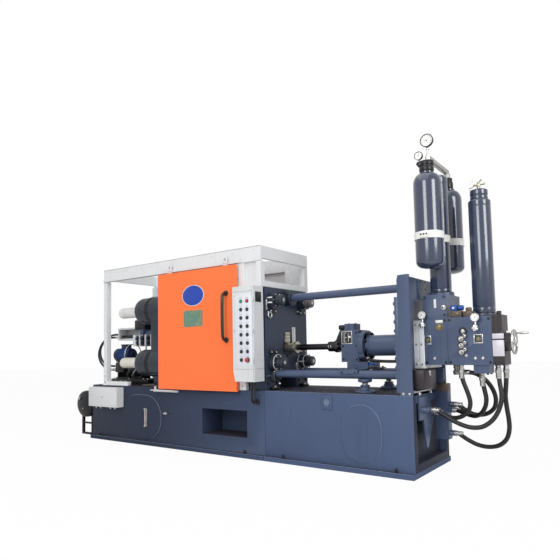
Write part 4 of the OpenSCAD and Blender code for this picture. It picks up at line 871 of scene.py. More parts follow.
def bottle_tops():
    """Bottle valve bodies with their hand nuts, the joining bar and two gauges on a stem."""
    dark, zinc = [], []
    dark += [ringed([(0.3, 52), (10, 57), (34, 58), (36, 53), (52, 53), (54, 58), (87.5, 57)],
        (*FRONT_BOTTLE, 2385.5), UP, 36, 3), ringed([(0.3, 40), (12, 46), (60, 46), (62, 41), (98, 41)],
        (*REAR_BOTTLE, 2337.5), UP, 32, 3), block((2046.5, -231, 2436.5), (2101.5, -180, 2470.5), 5),
        ringed([(0, 16.5), (16, 16.5), (18, 20), (22, 20)], (2063.5, -231.5, 2453), FRONT, 6, 1)]
    zinc += [ringed([(0, 26), (39.5, 26)], (*REAR_BOTTLE, 2437.5), UP, 6, 2),
        block((2110, -227, 2477.6), (2149, 249, 2513), 4)]
    zinc += spots(hex_head, 2129.5, (-205.5, 223.5), 2513, UP, 24, 9)
    zinc += [ringed([(0, 13), (14, 13), (16, 7.5), (52, 7.5), (54, 11), (70, 11)], (2125.5, -205.5, 2515),
        UP, 16), ringed([(0, 10), (20, 6), (30, 6)], (2061.5, -221.5, 2471), UP, 12)]
    build_set("bottle_pipework", whole=True, bottle_valves=(dark, black_enamel),
        bottle_bar=(zinc, fitting_zinc))
    gauges("bottle", "bottle_pipework", black_steel, ((2125.5, -195, 2639.5), 106, 32, -0.6),
        ((2061.5, -220, 2521.5), 69, 28, 0.2))


def spots(kind, xs, ys, zs, axis, *sizes):
    """Screw heads wherever the given x, y and z cross; each of them is one number or several."""
    several = [v if isinstance(v, tuple) else (v,) for v in (xs, ys, zs)]
    return heads_at(kind, itertools.product(*several), axis, *sizes)


def accumulators():
    """Two piston accumulators: honed shells between screwed end caps with ring nuts."""
    profile = [(0, 82.5), (10, 84), (30, 84), (32, 81.5), (36, 81.5), (38, 84), (900, 84), (902, 81),
        (906, 81), (908, 84), (950, 84), (955, 80)]
    build("column_shell", [ringed(profile, (*COLUMN, 1426.5), UP, 56, 2),
        ringed([(0, 66), (16.5, 66)], (*COLUMN, 2381.5), UP, 40, 3)], bottle_paint, "accumulator_column",
        whole=True)
    x = 2451
    shell = [(0, 94), (3, 98), (21, 98), (24, 94)]
    right = [ringed(shell, (x, 0, 1218.5), UP, 48, 2), ringed([(0.3, 83), (10, 84), (44, 84), (46, 81.5),
        (51, 81.5), (53, 84), (840, 84), (842, 81.5), (847, 81.5), (849, 84), (886, 84), (893.5, 79)],
        (x, 0, 1242.5), UP, 56, 2), ringed([(0.3, 66), (30, 67), (32, 62), (40, 62), (42, 67), (80, 67),
        (87.5, 56)], (x, 0, 2136.5), UP, 40, 3)]
    build("accumulator_shell", right, bottle_paint, "accumulator_right", whole=True)
    screws = bolt_circle((x, 0, 1242.5), UP, 90.5, 12, 11, socket_screw)
    screws += bolt_circle((*COLUMN, 1426.5), UP, 93.5, 12, 13, socket_screw)
    build("accumulator_screws", screws, black_steel, "accumulator_right")
    brass = [ringed([(0, 15), (10, 15.5), (12, 12.5), (20, 12.5), (22, 15), (40, 15), (42, 11),
        (63.5, 11)], (x, 0, 2224.8), UP, 6, 1), ringed([(0, 9), (104, 9)], (x - 52, 0, 2268.5), RIGHT, 12),
        ringed([(0, 12), (18, 12)], (x - 52, 0, 2268.5), RIGHT, 6)]
    build("accumulator_brass", brass, brassy, "accumulator_right")
    handle = [hose_tube([(x + 4, 0, 2287), (x + 12, -12, 2287.5), (x + 30, -40, 2287.2),
        (x + 46, -66, 2286.8)], [4, 4.5, 5, 4.2], 8), ringed([(0, 7), (16, 7)], (x - 62, 0, 2232), UP, 12)]
    build("accumulator_lever", handle, fitting_zinc, "accumulator_right")
    gauges("accumulator", "accumulator_right", fitting_zinc, ((x - 62, 10, 2280.5), 64, 25, 0.4))


def rim(xs, zs, front, back):
    """Four bars round an opening; xs and zs are its outer, inner, inner and outer edges."""
    x0, x1, x2, x3 = xs
    z0, z1, z2, z3 = zs
    return [block((x0, front, z0), (x3, back, z1), 1), block((x0, front, z2), (x3, back, z3), 1),
        block((x0, front, z1 - 1), (x1, back, z2 + 1), 1), block((x2, front, z1 - 1), (x3, back, z2 + 1), 1)]


def block_dress():
    """Cocks, plugs, sight pockets, pilot valves and label blanks on the valve blocks."""
    zinc, dark, white, brown, blue, brass = [], [], [], [], [], []
    front = -188
    for z in (1051, 1000, 949):
        zinc += hex_head((2318, front - 0.3, z), FRONT, 32, 16)
        zinc.append(ringed([(0, 10), (12, 10), (14, 7), (22, 7)], (2318, front - 17, z), FRONT, 16))
        dark.append(hoop([(0, 20.5), (0, 24.5), (4, 25), (6, 23.5), (6, 21.5)], (2318, front - 0.3, z),
            FRONT, 28))
        zinc.append(ringed([(0.3, 9), (18, 9), (20, 14), (40, 14), (43, 11)], (2354, front, z + 22),
            FRONT, 14))
        dark.append(ringed([(0, 6), (1.2, 6)], (2354, front - 43, z + 22), FRONT, 10))
    # A sunk port with a knurled plug above the cocks
    dark.append(hoop([(0, 18), (0, 30), (3, 31), (6, 29), (6, 20)], (2336, front - 0.3, 1108), FRONT, 32))
    zinc.append(ringed([(0.3, 17), (9, 17), (11, 10), (16, 10)], (2336, front, 1108), FRONT, 20))
    zinc += hex_head((2354, front - 0.3, 925), FRONT, 18)
    # Sight pockets with ground rims and a square plug inside
    for xs in ((2031.5, 2036, 2080, 2087), (2413, 2420, 2474, 2481)):
        zinc += rim(xs, (1015, 1021.5, 1076.5, 1083), front - 3, front + 2)
        brass += hex_head(((xs[1] + xs[2]) / 2, front + 13.7, 1049), FRONT, 26, 8)
    # Large olive cap, with its blank label above, and the ringed plug on the upper block
    brass += hex_head((2157, front - 0.3, 1147), FRONT, 44, 15)
    brass.append(ringed([(0, 13), (5, 13)], (2157, front - 16.5, 1147), FRONT, 20))
    white += [block((2128, front - 2.2, 1181), (2186, front - 0.3, 1203), 0.6),
        block((2120, front - 2.2, 1300), (2138, front - 0.3, 1368), 0.6)]
    zinc.append(ringed([(0.3, 20), (6, 20), (8, 14), (12, 14), (14, 18), (21, 18), (23, 10)],
        (2197, front, 1298.5), FRONT, 24))
    dark.append(ringed([(0, 7), (1.5, 7)], (2197, front - 23.2, 1298.5), FRONT, 12))
    # Pilot valve on its brown block, and the capped block beside it
    blue += [block((2241, -177, 1269), (2292, -99, 1314), 5),
        ringed([(0, 20), (4, 21), (37, 21), (41, 17)], (2292.5, -138, 1291.5), RIGHT, 20)]
    zinc += hex_head((2266, -177, 1291.5), FRONT, 20, 1)[1:]
    brown += [block((2240, -180, 1218.8), (2326, -88, 1268.4), 4),
        block((2344, -180, 1218.8), (2414, -110, 1262), 4),
        ringed([(0.3, 22), (6, 22.8), (24, 22.8), (29, 16)], (2374, -145, 1262.5), UP, 24)]
    dark += spots(socket_screw, (2251, 2315, 2352, 2406), -180, (1230, 1252), FRONT, 7, 2)
    brass.append(ringed([(0, 9), (10, 9), (11, 6), (20, 6)], (2302, -180, 1244), FRONT, 6))
    # Socket screws of the block's halves and of the upper block
    dark.append(socket_screw((2050, front - 0.3, 874), FRONT, 20, 6))
    dark += spots(socket_screw, (2198, 2234, 2528), front - 0.3, (874, 1198), FRONT, 20, 6)
    dark += spots(socket_screw, (2050, 2200), front - 0.3, (1240, 1384), FRONT, 18, 5)
    for x in (2110, 2420, 2475):
        zinc.append(ringed([(0.2, 10.5), (3.5, 10.5), (3.6, 6), (1.2, 5.5)], (x, front, 905), FRONT, 18, 0.4))
    dark.append(block((2214.8, front - 0.8, 856), (2217.2, front + 1, 1216.5), 0.3))
    # Flange plate under the right half and the hose unions
    dark += spots(hex_head, (2412, 2496), (-160, -56), 791.5, DOWN, 18, 10)
    for x, y, low, high in ((2300, -150, 815, 853.5), (2240, -80, 774.5, 853.5), (2440, -105, 755, 791.5),
            (2562, -120, 815, 853.5), (2600, -45, 815, 853.5)):
        long = high - low
        zinc.append(ringed([(0.3, 22), (long * 0.35, 22), (long * 0.38, 17.5), (long * 0.55, 17.5),
            (long * 0.58, 22.5), (long - 0.4, 22.5)], (x, y, high), DOWN, 6))
    zinc.append(ringed([(0, 16), (20, 16), (22, 20.5), (62, 20.5)], (2217, -80, 795.5), RIGHT, 6))
    build_set("block_valves", whole=True, block_fittings=(zinc, fitting_zinc),
        block_dark_screws=(dark, black_steel), block_labels=(white, band_white), pilot_feet=(brown, brick),
        pilot_valve=(blue, motor_blue), block_caps=(brass, olive_brass))
    # Two gauges on needle valves with star knobs
    places = ((2035, 1246.5, -0.3), (2440, 1208.5, 0.5))
    dials = [((x, front - 24, z), 64, 28, turn) for x, z, turn in places]
    gauges("block", "block_gauges", fitting_zinc, *dials)
    knobs, stems = [], []
    for x, z, _ in places:
        stems += [ringed([(0, 7.8), (16, 7.8), (18, 11), (30, 11), (34, 8), (44, 8)],
            (x, front - 38, z - 33.5), DOWN, 12), ringed([(0.3, 14.5), (14, 14.5), (16, 11), (50, 11)],
            (x, front, z - 80), FRONT, 6), ringed([(0.3, 9), (24, 9)], (x, front, z), FRONT, 12)]
        knobs.append(star_knob((x, front - 46, z - 80), 46))
    build_set("block_gauges", whole=True, gauge_stems=(stems, fitting_zinc), star_knobs=(knobs, ground_steel))


def end_valve_dress():
    """The valve at the block's end: flanged bodies, cap screws, a hub and its handwheel."""
    screws = []
    for x in (2560, 2604):
        screws += spots(socket_screw, x, -188, (1120, 1208), FRONT, 14, 4)
        screws += spots(socket_screw, x + 4, -188, (868, 938), FRONT, 14, 4)
    screws.append(ringed([(0.3, 15), (8, 16.5), (18, 16.5), (20, 12), (29, 12)], (2586, -118, 1223), UP, 6))
    screws += bolt_circle((2618, -100, 1021), RIGHT, 82, 4, 16, socket_screw, 0.785)
    build("end_valve_screws", screws, black_steel, "end_valve")
    bonnet = [block((2548, -196, 918), (2628, -187.8, 1036), 3),
        block((2548, -196, 1046), (2628, -187.8, 1084), 3)]
    build("end_valve_bonnet", bonnet, bonnet_steel, "end_valve")
    hub = ringed([(0.4, 69), (10, 69), (14, 58), (24, 56), (26, 46), (41.5, 42)], (2608, -100, 1021),
        RIGHT, 36, 2)
    build("end_valve_hub", [hub], deep_slate, "end_valve")
    centre, r = np.array((2679, -100, 1021)), 84.5
    parts = [torus(centre, r, 8.8, 56, 14), ringed([(0, 18), (3, 20), (22, 20), (34, 15), (38, 15)],
        (2659, -100, 1021), RIGHT, 24)]
    for a in (90, 210, 330):
        c, d = math.cos(math.radians(a)), math.sin(math.radians(a))
        run = [centre + (4 + 3 * math.cos(q * 0.04), c * q, d * q) for q in (14, 35, 60, 84)]
        parts.append(hose_tube(run, [9, 7.5, 7, 8.5], 10))
    a = math.radians(40)
    knob = 2679, -100 + 84.5 * math.sin(a), 1021 + 84.5 * math.cos(a)
    parts.append(turned(eased([(0, 0), (0, 6), (30, 6), (31, 8.5), (50, 9.8), (74, 8.8), (89, 8), (91, 0)],
        2), knob, RIGHT, 18))
    build("handwheel_rim", parts, fitting_zinc, "handwheel", whole=True, smooth=50)


# Injection unit

def injection_dress():
    """Shot head window and screws, lobed flange, cylinder, jacks, rods and the plunger."""
    front = -90
    glass, marks, dark, zinc = [], [], [], []
    glass.append(block((1241.5, front + 0.5, 1043.5), (1332.5, front + 6.2, 1142.5), 1))
    zinc += rim((1234, 1240.5, 1333.5, 1340), (1036, 1042.5, 1143.5, 1150), front - 4, front)
    for k in range(9):
        long = 30 if k % 4 == 0 else 16
        z = 1053 + 10 * k
        marks.append(block((1252, front + 0.2, z), (1252 + long, front + 1.2, z + 2.8), 0.4))
    marks += [block((1298, front + 0.2, 1058), (1302, front + 1.2, 1128), 0.4),
        block((1300, front + 0.2, 1090), (1324, front + 1.2, 1106), 0.4)]
    dark += spots(socket_screw, (1246, 1380), front, (900, 1018), FRONT, 18, 6)
    dark.append(socket_screw((1380, front, 1134), FRONT, 18, 6))
    dark += spots(socket_screw, (1272, 1340), -16, 1216, UP, 14, 7)
    dark += spots(socket_screw, 1306, -82, (1176, 1198), FRONT, 10, 4)
    build_set("shot_head", sight_glass=(glass, black_plastic), sight_marks=(marks, dial_white))
    # Lobed flange: a ring with four corner bosses and eight screws
    ring = [ringed([(0.3, 128), (6, 135), (54, 135), (60, 129)], (1400, 0, SHOT_Z), RIGHT, 56, 2)]
    for a in (45, 135, 225, 315):
        c, d = math.cos(math.radians(a)), math.sin(math.radians(a))
        ring.append(ringed([(0.3, 28), (4, 31), (56, 31), (60, 28)], (1400, 116 * c, SHOT_Z + 116 * d),
            RIGHT, 24, 2))
    build("shot_flange_ring", ring, slate_cast, "shot_flange", whole=True)
    dark += bolt_circle((1460, 0, SHOT_Z), RIGHT, 112, 8, 26, socket_screw, math.radians(22.5))
    # Cylinder barrel with its end collar, oil port and pipe
    barrel = [ringed([(0, 91), (30, 91), (32, 87.5), (40, 87.5), (43, 91), (376, 91), (379, 88.5),
        (384, 88.5), (386, 90.5), (421.5, 90.5)], (1448.5, 0, SHOT_Z), RIGHT, 56, 1.5),
        ringed([(0, 26), (20, 26), (24, 24)], (1810, -40, 1096.5), UP, 24)]
    build("shot_barrel", barrel, slate, "shot_cylinder", whole=True)
    dark.append(ringed([(0, 20), (12, 20), (14, 15), (26, 15)], (1810, -40, 1120.5), UP, 6))
    elbow = smooth_route([(1810, -46, 1138), (1814, -60, 1137), (1826, -72, 1130), (1846, -76, 1128),
        (1868, -76, 1128)], 8)
    dark.append(hose_tube(elbow, 10, 12))
    under = smooth_route([(1462, -70, 905), (1476, -74, 900), (1500, -78, 893), (1580, -80, 884),
        (1700, -78, 880), (1800, -74, 882), (1869.5, -72, 884)], 12)
    build("under_pipe", [hose_tube(under, 13, 14)], hose_rubber, "shot_cylinder")
    zinc += [ringed([(0, 17), (22, 17)], (1869.5, -72, 884), LEFT, 6),
        ringed([(0, 17), (22, 17)], (1460.5, -70, 905), RIGHT, 6)]
    # Grease cocks beside the saddle
    for x, z in ((1512, 838), (1540, 806)):
        zinc += [ringed([(0, 10), (16, 10), (18, 7), (30, 7)], (1501, -85, z), RIGHT, 6),
            ringed([(0, 7.5), (24, 7.5), (26, 10), (34, 10)], (1531, -85, z), (0, -0.2, 1), 10)]
    brass = [ringed([(0, 8.5), (12, 8.5), (14, 6), (24, 6)], (1518, -92, 838), FRONT, 6),
        ringed([(0, 8.5), (20, 8.5)], (1518, -92, 806), FRONT, 6)]
    build("grease_nipples", brass, brassy, "shot_pedestal")
    blue = [block((1505, -112, 846), (1545, -88, 874), 4),
        hose_tube([(1545, -100, 856), (1570, -108, 853), (1588, -116, 848)], [6, 5, 5.5], 10)]
    build("grease_cock", blue, motor_blue, "shot_pedestal")
    for x in (1335, 1460):
        for s in (-1, 1):
            dark += [socket_screw((x, s * 262, 819), UP, 20, 10),
                socket_screw((x, s * 288, 795), (0, s, 0), 14, 5)]
    # Jacks: a bolted foot, a bright screw between two nuts, and a cupped head
    jacks, screws = [], []
    for s in (-1, 1):
        spot = 1526, s * 238
        jacks += [ringed([(0, 83), (14, 84), (18, 78), (30, 50), (46, 44), (50, 36)], (*spot, 624), UP, 36,
            3), ringed([(0, 40), (16, 40)], (*spot, 674), UP, 6, 3),
            ringed([(0, 30), (6, 56), (20, 60), (29.5, 58)], (*spot, 709), UP, 36, 3)]
        thread = [(0, 23.5)]
        for k in range(7):
            thread += [(1 + 3 * k, 25.5), (2.5 + 3 * k, 23.5)]
        screws.append(turned([(0, 0)] + thread + [(22.5, 0)], (*spot, 688.5), UP, 20))
        dark += bolt_circle((*spot, 642.5), UP, 66, 4, 16, hex_head, 0.785)
    build_set("support_jack", whole=True, jack_bodies=(jacks, slate), jack_screws=(screws, ground_steel))
    build_set("shot_head", injection_zinc=(zinc, fitting_zinc), injection_screws=(dark, black_steel))
    # Plunger: rod, clamped coupling, piston rod and striker arm
    rod = [ringed([(0, 26.5), (3, 28), (382, 28), (383.5, 27.5)], (670, 0, SHOT_Z), RIGHT, 36),
        ringed([(0.3, 46), (28, 46.5), (30, 43), (35, 43), (37, 46.5), (66, 46.5)], (1054, 0, SHOT_Z),
            RIGHT, 36),
        ringed([(0, 52), (4, 55.5), (40, 55.5), (43.7, 52)], (1120, 0, SHOT_Z), RIGHT, 36),
        ringed([(0, 35), (431, 35)], (1164, 0, SHOT_Z), RIGHT, 36)]
    arm = np.array([[1114, -9, 1047], [1164, -9, 1037], [1212, -9, 1167], [1212, -9, 1189],
        [1182, -9, 1189]])
    rod += [slab(arm, BACK, 18, 3), ringed([(0, 18), (3, 22), (50, 22), (56, 18)], (1164, 0, 1189), RIGHT,
        28, 2)]
    build("plunger_body", rod, black_steel, "plunger", whole=True)
    clamps = []
    for x in (1068, 1092):
        for s in (-1, 1):
            clamps.append(ringed([(0, 7), (20, 7)], (x, s * 40, 1007), UP, 12))
    clamps += bolt_circle((1163.7, 0, SHOT_Z), RIGHT, 44, 6, 10, socket_screw)
    build("coupling_screws", clamps, ground_steel, "plunger")


# Fixed platen's injection side

def platen_dress():
    """Wear plate and scale above the sleeve, nut keepers, eye bolt, foot screws, rod nuts, and bright bars
    and pale hoops as painted highlights round the tie bar nuts.
    """
    face = 576
    zinc, dark, brass = [], [], []
    for k in range(6):
        z = 1068 + 16.5 * k
        (zinc if k % 2 else brass).append(block((face + 0.3, -50 + 3 * k, z), (face + 11, 34, z + 14.5), 3))
    zinc.append(block((face + 0.3, 84, 1012), (face + 4, 140, 1218), 1))
    for k in range(17):
        z = 1022 + 11.5 * k
        wide = 34 if k % 4 == 0 else 20
        dark.append(block((face + 3.6, 90, z), (face + 4.8, 90 + wide, z + 3), 0.5))
    # Painted highlights: the bright bars below are ground steel strips laid where light lines fall round the
    # tie bar nuts and rod mounts.
    for y0, y1, z0, z1 in ((138, 150, 765, 865), (338, 350, 765, 865), (150, 338, 795, 804),
            (-240, -226, 700, 800), (-340, -240, 752, 760), (160, 350, 1372, 1380), (-345, -335, 1372, 1470)):
        zinc.append(block((face + 0.3, y0, z0), (face + 16, y1, z1), 2))
    # Keeper plates with socket screws at each nut
    for y in TIE_Y:
        for z, s in zip(TIE_Z, (1, -1)):
            dark.append(block((face + 0.3, y - 55, z + s * 98 - 18), (face + 20, y + 55, z + s * 98 + 18), 4))
            for across in (-36, 36):
                zinc.append(socket_screw((face + 20, y + across, z + s * 98), RIGHT, 16, 8))
            zinc.append(ringed([(0, 16), (4, 18), (4, 9), (-10, 6)], (716, y, z), RIGHT, 20))
            zinc += bolt_circle((646, y, z), RIGHT, 62, 6, 12, socket_screw)
    zinc += [torus((594, -300, 1325), 26, 7, 28, 10), ringed([(0.3, 14), (6, 14), (8, 10), (16, 9)],
        (face, -300, 1352), RIGHT, 14)]
    dark += bolt_circle((face + 0.3, 0, SHOT_Z), RIGHT, 82, 8, 14, socket_screw)
    dark.append(hoop([(0, 62), (0, 72), (4, 73), (6, 70), (6, 62)], (face + 0.3, 0, SHOT_Z), RIGHT, 40))
    dark += spots(hex_head, face + 0.3, (-320, -190, 190, 320), 690, RIGHT, 26)
    for y0 in (-300, 200):
        dark.append(block((face + 0.3, y0, 624.3), (face + 50, y0 + 100, 650), 4))
        zinc += hex_head((face + 26, y0 + 50, 650), UP, 24)
    build("platen_plates_and_highlight_bars", zinc, ground_steel, "fixed_platen")
    # Painted highlights: pale hoops at the nut ends and thin pale bars beside the nuts stand in for light
    # caught on the nuts' rims.
    rims = []
    for start, y in ((576.5, 250), (640, 250), (640, -250)):
        rims.append(hoop([(0, 74), (0, 76.8), (5.5, 76.8), (5.5, 74)], (start, y, TIE_Z[0]), RIGHT, 48))
    rims.append(block((583, 172.5, 874), (639, 176.5, 881), 1))
    for z in (1433, 1480):
        rims.append(block((580, -326.8, z), (639, -316, z + 12), 2))
    build("nut_painted_highlights", rims, white_coat, "tie_bar_nuts")
    build_set("fixed_platen", platen_screws=(dark, black_steel), platen_wear_plate=(brass, brassy))
    # Ribbed nut of the upper rod
    nut = [(0.3, 66)]
    for k in range(4):
        nut += [(22 * k + 1, 76), (22 * k + 11, 76), (22 * k + 12.5, 66), (22 * k + 20, 66)]
    nut = nut[:-1] + [(83.8, 64)]
    parts = [turned([(0.3, 0)] + nut + [(83.8, 0)], (face, 0, 1500), RIGHT, 40)]
    for y in (-238, 238):
        parts.append(block((face + 0.3, y - 59, 716), (face + 55.5, y + 59, 789.5), 5))
    for place in ((1874, 0, 1500), (1844, -238, 775), (1844, 238, 775)):
        parts.append(ringed([(0, 58), (4, 62), (22, 62), (25.7, 60)], place, RIGHT, 36, 2))
    build("rod_nuts", parts, nut_enamel, "rod_mounts", whole=True)
    screws = []
    for place in ((1874, 0, 1500), (1844, -238, 775), (1844, 238, 775)):
        screws += bolt_circle(place, LEFT, 50, 6, 12, socket_screw)
    build("rod_collar_screws", screws, fitting_zinc, "rod_mounts")


# End frame and its flange

def end_frame_dress():
    """Base screws, flange bolts, trunking cover screws and the polished tube on the bed's end."""
    heads, dark = [], []
    heads += spots(hex_head, (1925, 1975), -390, 640, FRONT, 16)
    for z in (860, SHOT_Z, 1174):
        for y in (-170, 170):
            heads += [socket_screw((1986, y, z), RIGHT, 20, 4),
                socket_screw((2010, -191, z), FRONT, 13, 4), socket_screw((1966, -191, z), FRONT, 13, 4)]
    dark += spots(socket_screw, 1959, (-45, 75), (1412, 1480, 1540), RIGHT, 10, 4)
    dark.append(block((1945.5, -330, 672), (2070, -60, 818), 6))
    heads.append(block((2069.7, -222, 772), (2079, -198, 812), 2))
    build_set("end_frame", frame_screws=(heads, fitting_zinc), frame_boxes=(dark, umber))
    tube = smooth_route([(2004, -375, 655), (2008, -330, 655), (2014, -200, 656), (2018, -60, 656),
        (2020, 60, 656)], 20)
    clips = [hose_tube(tube, 11.5, 14)]
    for y in (-300, -60):
        clips.append(block((1998, y - 12, 624.5), (2030, y + 12, 646), 3))
    build("polished_tube", clips, tie_chrome, "end_frame")
    rows = []
    for y in (-350, 350):
        for k in range(10):
            z = 643 + 50 + 72 * k
            rows += hex_head((1870.2, y, z), LEFT, 34, 16)
    build("end_flange_bolts", rows, slate, "end_flange")
    plate = [block((1870, -384, 643), (1899.8, 384, 1391), 3)]
    build("end_flange_plate", plate, slate, "end_flange", whole=True)


# Sliding door

def front_door():
    """A folded steel shell with a return flange, its stiffeners, hangers and rollers."""
    x0, x1, z0, z1 = -778, 303, 612, 1817
    front, back, wall = -454, -420, 3
    wide, high = x1 - x0, z1 - z0
    outline, inner, inset, pan = [round_corners(wide - less, high - less, r, 3)
        for less, r in ((0, 6), (44, 4), (8, 3), (2 * wall, 4))]
    parts = [facing_sheet([(inset, front), (outline, front + 1.2), (outline, front + 5),
        (outline, back - 1), (inset, back), (inner, back), (inner, back - 2), (pan, back - wall),
        (pan, front + wall)], ((x0 + x1) / 2, (z0 + z1) / 2))]
    for z in (950, 1460):
        parts.append(block((x0 + 6, front + wall + 0.1, z), (x1 - 6, front + 26, z + 45), 3))
    build("door_shell", parts, orange, "front_door", whole=True)
    white, rollers = [], []
    for x in (-628, 153):
        white.append(block((x - 29.5, -425.8, 1793), (x + 29.5, -420.3, 1899.5), 1.5))
        rollers.append(ringed([(0, 17), (3, 19.8), (10, 19.8), (12.8, 17)], (x, -420, 1884.3), BACK, 28, 1))
        rollers += hex_head((x, -425.8, 1884.3), FRONT, 19, 7)
        for z in (1825.5, 1845):
            rollers += hex_head((x - 14, -425.8, z), FRONT, 10, 4)
            rollers += hex_head((x + 14, -425.8, z), FRONT, 10, 4)
    build_set("front_door", door_hangers=(white, white_coat), door_rollers=(rollers, fitting_zinc))
    angles = np.linspace(0, 2 * np.pi, 72, endpoint=False)
    oval = np.stack([152 * np.cos(angles), 106 * np.sin(angles)], -1)
    for name, rows, finish in (("door_disc_rim", ((-453.8, 1.0), (-456.6, 1.0), (-457, 0.99),
            (-457, 0.955), (-456.6, 0.95)), sign_white), ("door_disc",
            ((-454.4, 0.95), (-457, 0.949), (-457.6, 0.935), (-457.6, 0.4)), sign_blue)):
        disc = facing_sheet([(oval * share, y) for y, share in rows], (-256, 1560))
        build(name, [disc], finish, "front_door")
    edge, opening = round_corners(262, 166, 10, 4), round_corners(246, 150, 6, 4)
    plate = facing_sheet([(edge, -453.8), (edge, -456), (edge * 0.99, -456.8), (opening, -456.8),
        (opening, -456)], (-258, 1328))
    build("door_plate", [plate], plate_green, "front_door")
    pins = []
    for x in (-379, -137):
        for z in (1253, 1403):
            pins.append(turned([(0, 0), (0, 3.5), (1.6, 2.6), (2.2, 0)], (x, -456.5, z), FRONT, 12))
    build("door_plate_rivets", pins, fitting_zinc, "front_door")


def door_handle():
    """A bowed bar between two round flanges, each with three screws."""
    x, middle, reach = 187, 1323, 224.5
    bow = ((-455.5, reach), (-468, reach), (-484, 222), (-498.5, 212), (-508, 193), (-511.5, 167),
        (-513.5, 83), (-514, 0))
    lower = [(x, y, middle - up) for y, up in bow]
    upper = [(x, y, middle + up) for y, up in bow[-2::-1]]
    line = smooth_route(lower + upper, 8)
    away = np.minimum(np.arange(len(line)), np.arange(len(line))[::-1])
    radius = 14.2 + 3.5 * np.exp(-away / 2.2)
    parts = [hose_tube(line, radius, 20)]
    screws = []
    for z in (middle - reach, middle + reach):
        parts.append(turned(eased([(0, 0), (0, 28), (5, 28), (10, 23.5), (10.5, 0)], 1.5),
            (x, -454.2, z), FRONT, 36))
        screws += bolt_circle((x, -459.5, z), FRONT, 22.8, 3, 7, socket_screw, 0.5)
    build_set("door_handle", whole=True, door_grip=(parts, black_plastic),
        door_grip_screws=(screws, fitting_zinc))


# Control box

def control_box():
    """Raised operating panel, seams, buttons with bezels and legend plates, hinges and lock."""
    front = -522
    outline = round_corners(196, 668, 6, 4)
    panel = facing_sheet([(outline, front + 0.3), (outline, front - 3),
        (outline * (0.988, 0.9955), front - 3.8)], (457, 1183))
    build("box_panel", [panel], panel_grey, "control_box")
    seams, metal, legends = [], [], []
    for z in (826, 1540):
        seams.append(block((338, front - 1.2, z - 1.6), (560, front + 0.6, z + 1.6), 0.5))
    seams += [block((561.5, front - 1.2, 725), (564, front + 0.6, 1575), 0.4),
        block((572.4, -505, 826), (574.2, -386, 829), 0.4)]
    build("box_seams", seams, seam_grey, "control_box")
    black, green, red = [], [], []
    for row in range(8):
        z = 1449 - 77 * row
        for x in (429, 503):
            stop = row == 7 and x > 450
            r = 24 if stop else 18.5
            out = front - 3.8
            metal.append(ringed([(0, r), (3.5, r), (6, r * 0.86), (6, r * 0.7), (3, r * 0.68)],
                (x, out, z), FRONT, 32, 0.8) if not stop else ringed([(0, r), (2.5, r), (4, r * 0.9)],
                (x, out, z), FRONT, 36, 0.6))
            if stop:
                red.append(turned([(4, 10.5), (14, 10.5), (14.5, 17), (17, 19.8), (21.5, 20), (24.5, 17),
                    (25.8, 11), (26.2, 0)], (x, out, z), FRONT, 36))
            else:
                cap = turned(eased([(2, 0), (2, 12.8), (9.2, 12.8), (10, 8), (9.8, 0)], 1), (x, out, z),
                    FRONT, 28)
                (green if row == 0 and x < 450 else red if row == 0 else black).append(cap)
            legends.append(block((x - 18, front - 4.4, z + 27.5), (x + 18, front - 3.6, z + 36.5), 0.3))
    build_set("control_buttons", whole=True, box_button_bezels=(metal, bezel_dark),
        box_buttons_black=(black, black_plastic), box_buttons_green=(green, green_plastic),
        box_buttons_red=(red, red_plastic))
    build("box_legends", legends, legend_grey, "control_box")
    plate = [block((572.8, -494, 1438), (574.2, -404, 1534), 0.6)]
    build("box_side_plate", plate, black_plastic, "control_box")
    hinges = []
    for z in (900, 1180, 1460):
        hinges.append(ringed([(0, 6), (55, 6)], (570.5, -524, z - 27.5), UP, 16, 1))
    hinges.append(ringed([(0, 11), (4, 11), (6, 7)], (345, -522, 1183), FRONT, 24, 1))
    for x in (366, 548):
        for z in (858, 1508):
            hinges.append(turned([(0, 0), (0, 4.5), (1.4, 4), (2, 1.8), (2, 0)], (x, front - 3.8, z), FRONT,
                14))
    build("box_fittings", hinges, fitting_zinc, "control_box")
    # Cables from the box into the bed
    cables, glands = [], []
    for x in (473, 507):
        route = smooth_route([(x, -442, 710.5), (x, -442, 675), (x, -442, 620), (x, -442, 570),
            (x, -441, 545), (x, -434, 526), (x, -420, 520.5), (x, -402.5, 520.5)], 8)
        cables.append(hose_tube(route, 9.8, 12))
        glands += [ringed([(0, 14.5), (12, 14.5), (14, 12.5), (24, 12.5)], (x, -442, 710.8), DOWN, 6, 1),
            ringed([(0, 14.5), (12, 14.5), (14, 12.5), (22, 12.5)], (x, -402.2, 521), FRONT, 6, 1)]
    build("box_cables", cables, hose_rubber, "conduit", whole=True)
    glands.append(block((455, -402, 501), (525, -390.2, 541), 3))
    build("box_cable_glands", glands, black_plastic, "conduit")


# Guard frame

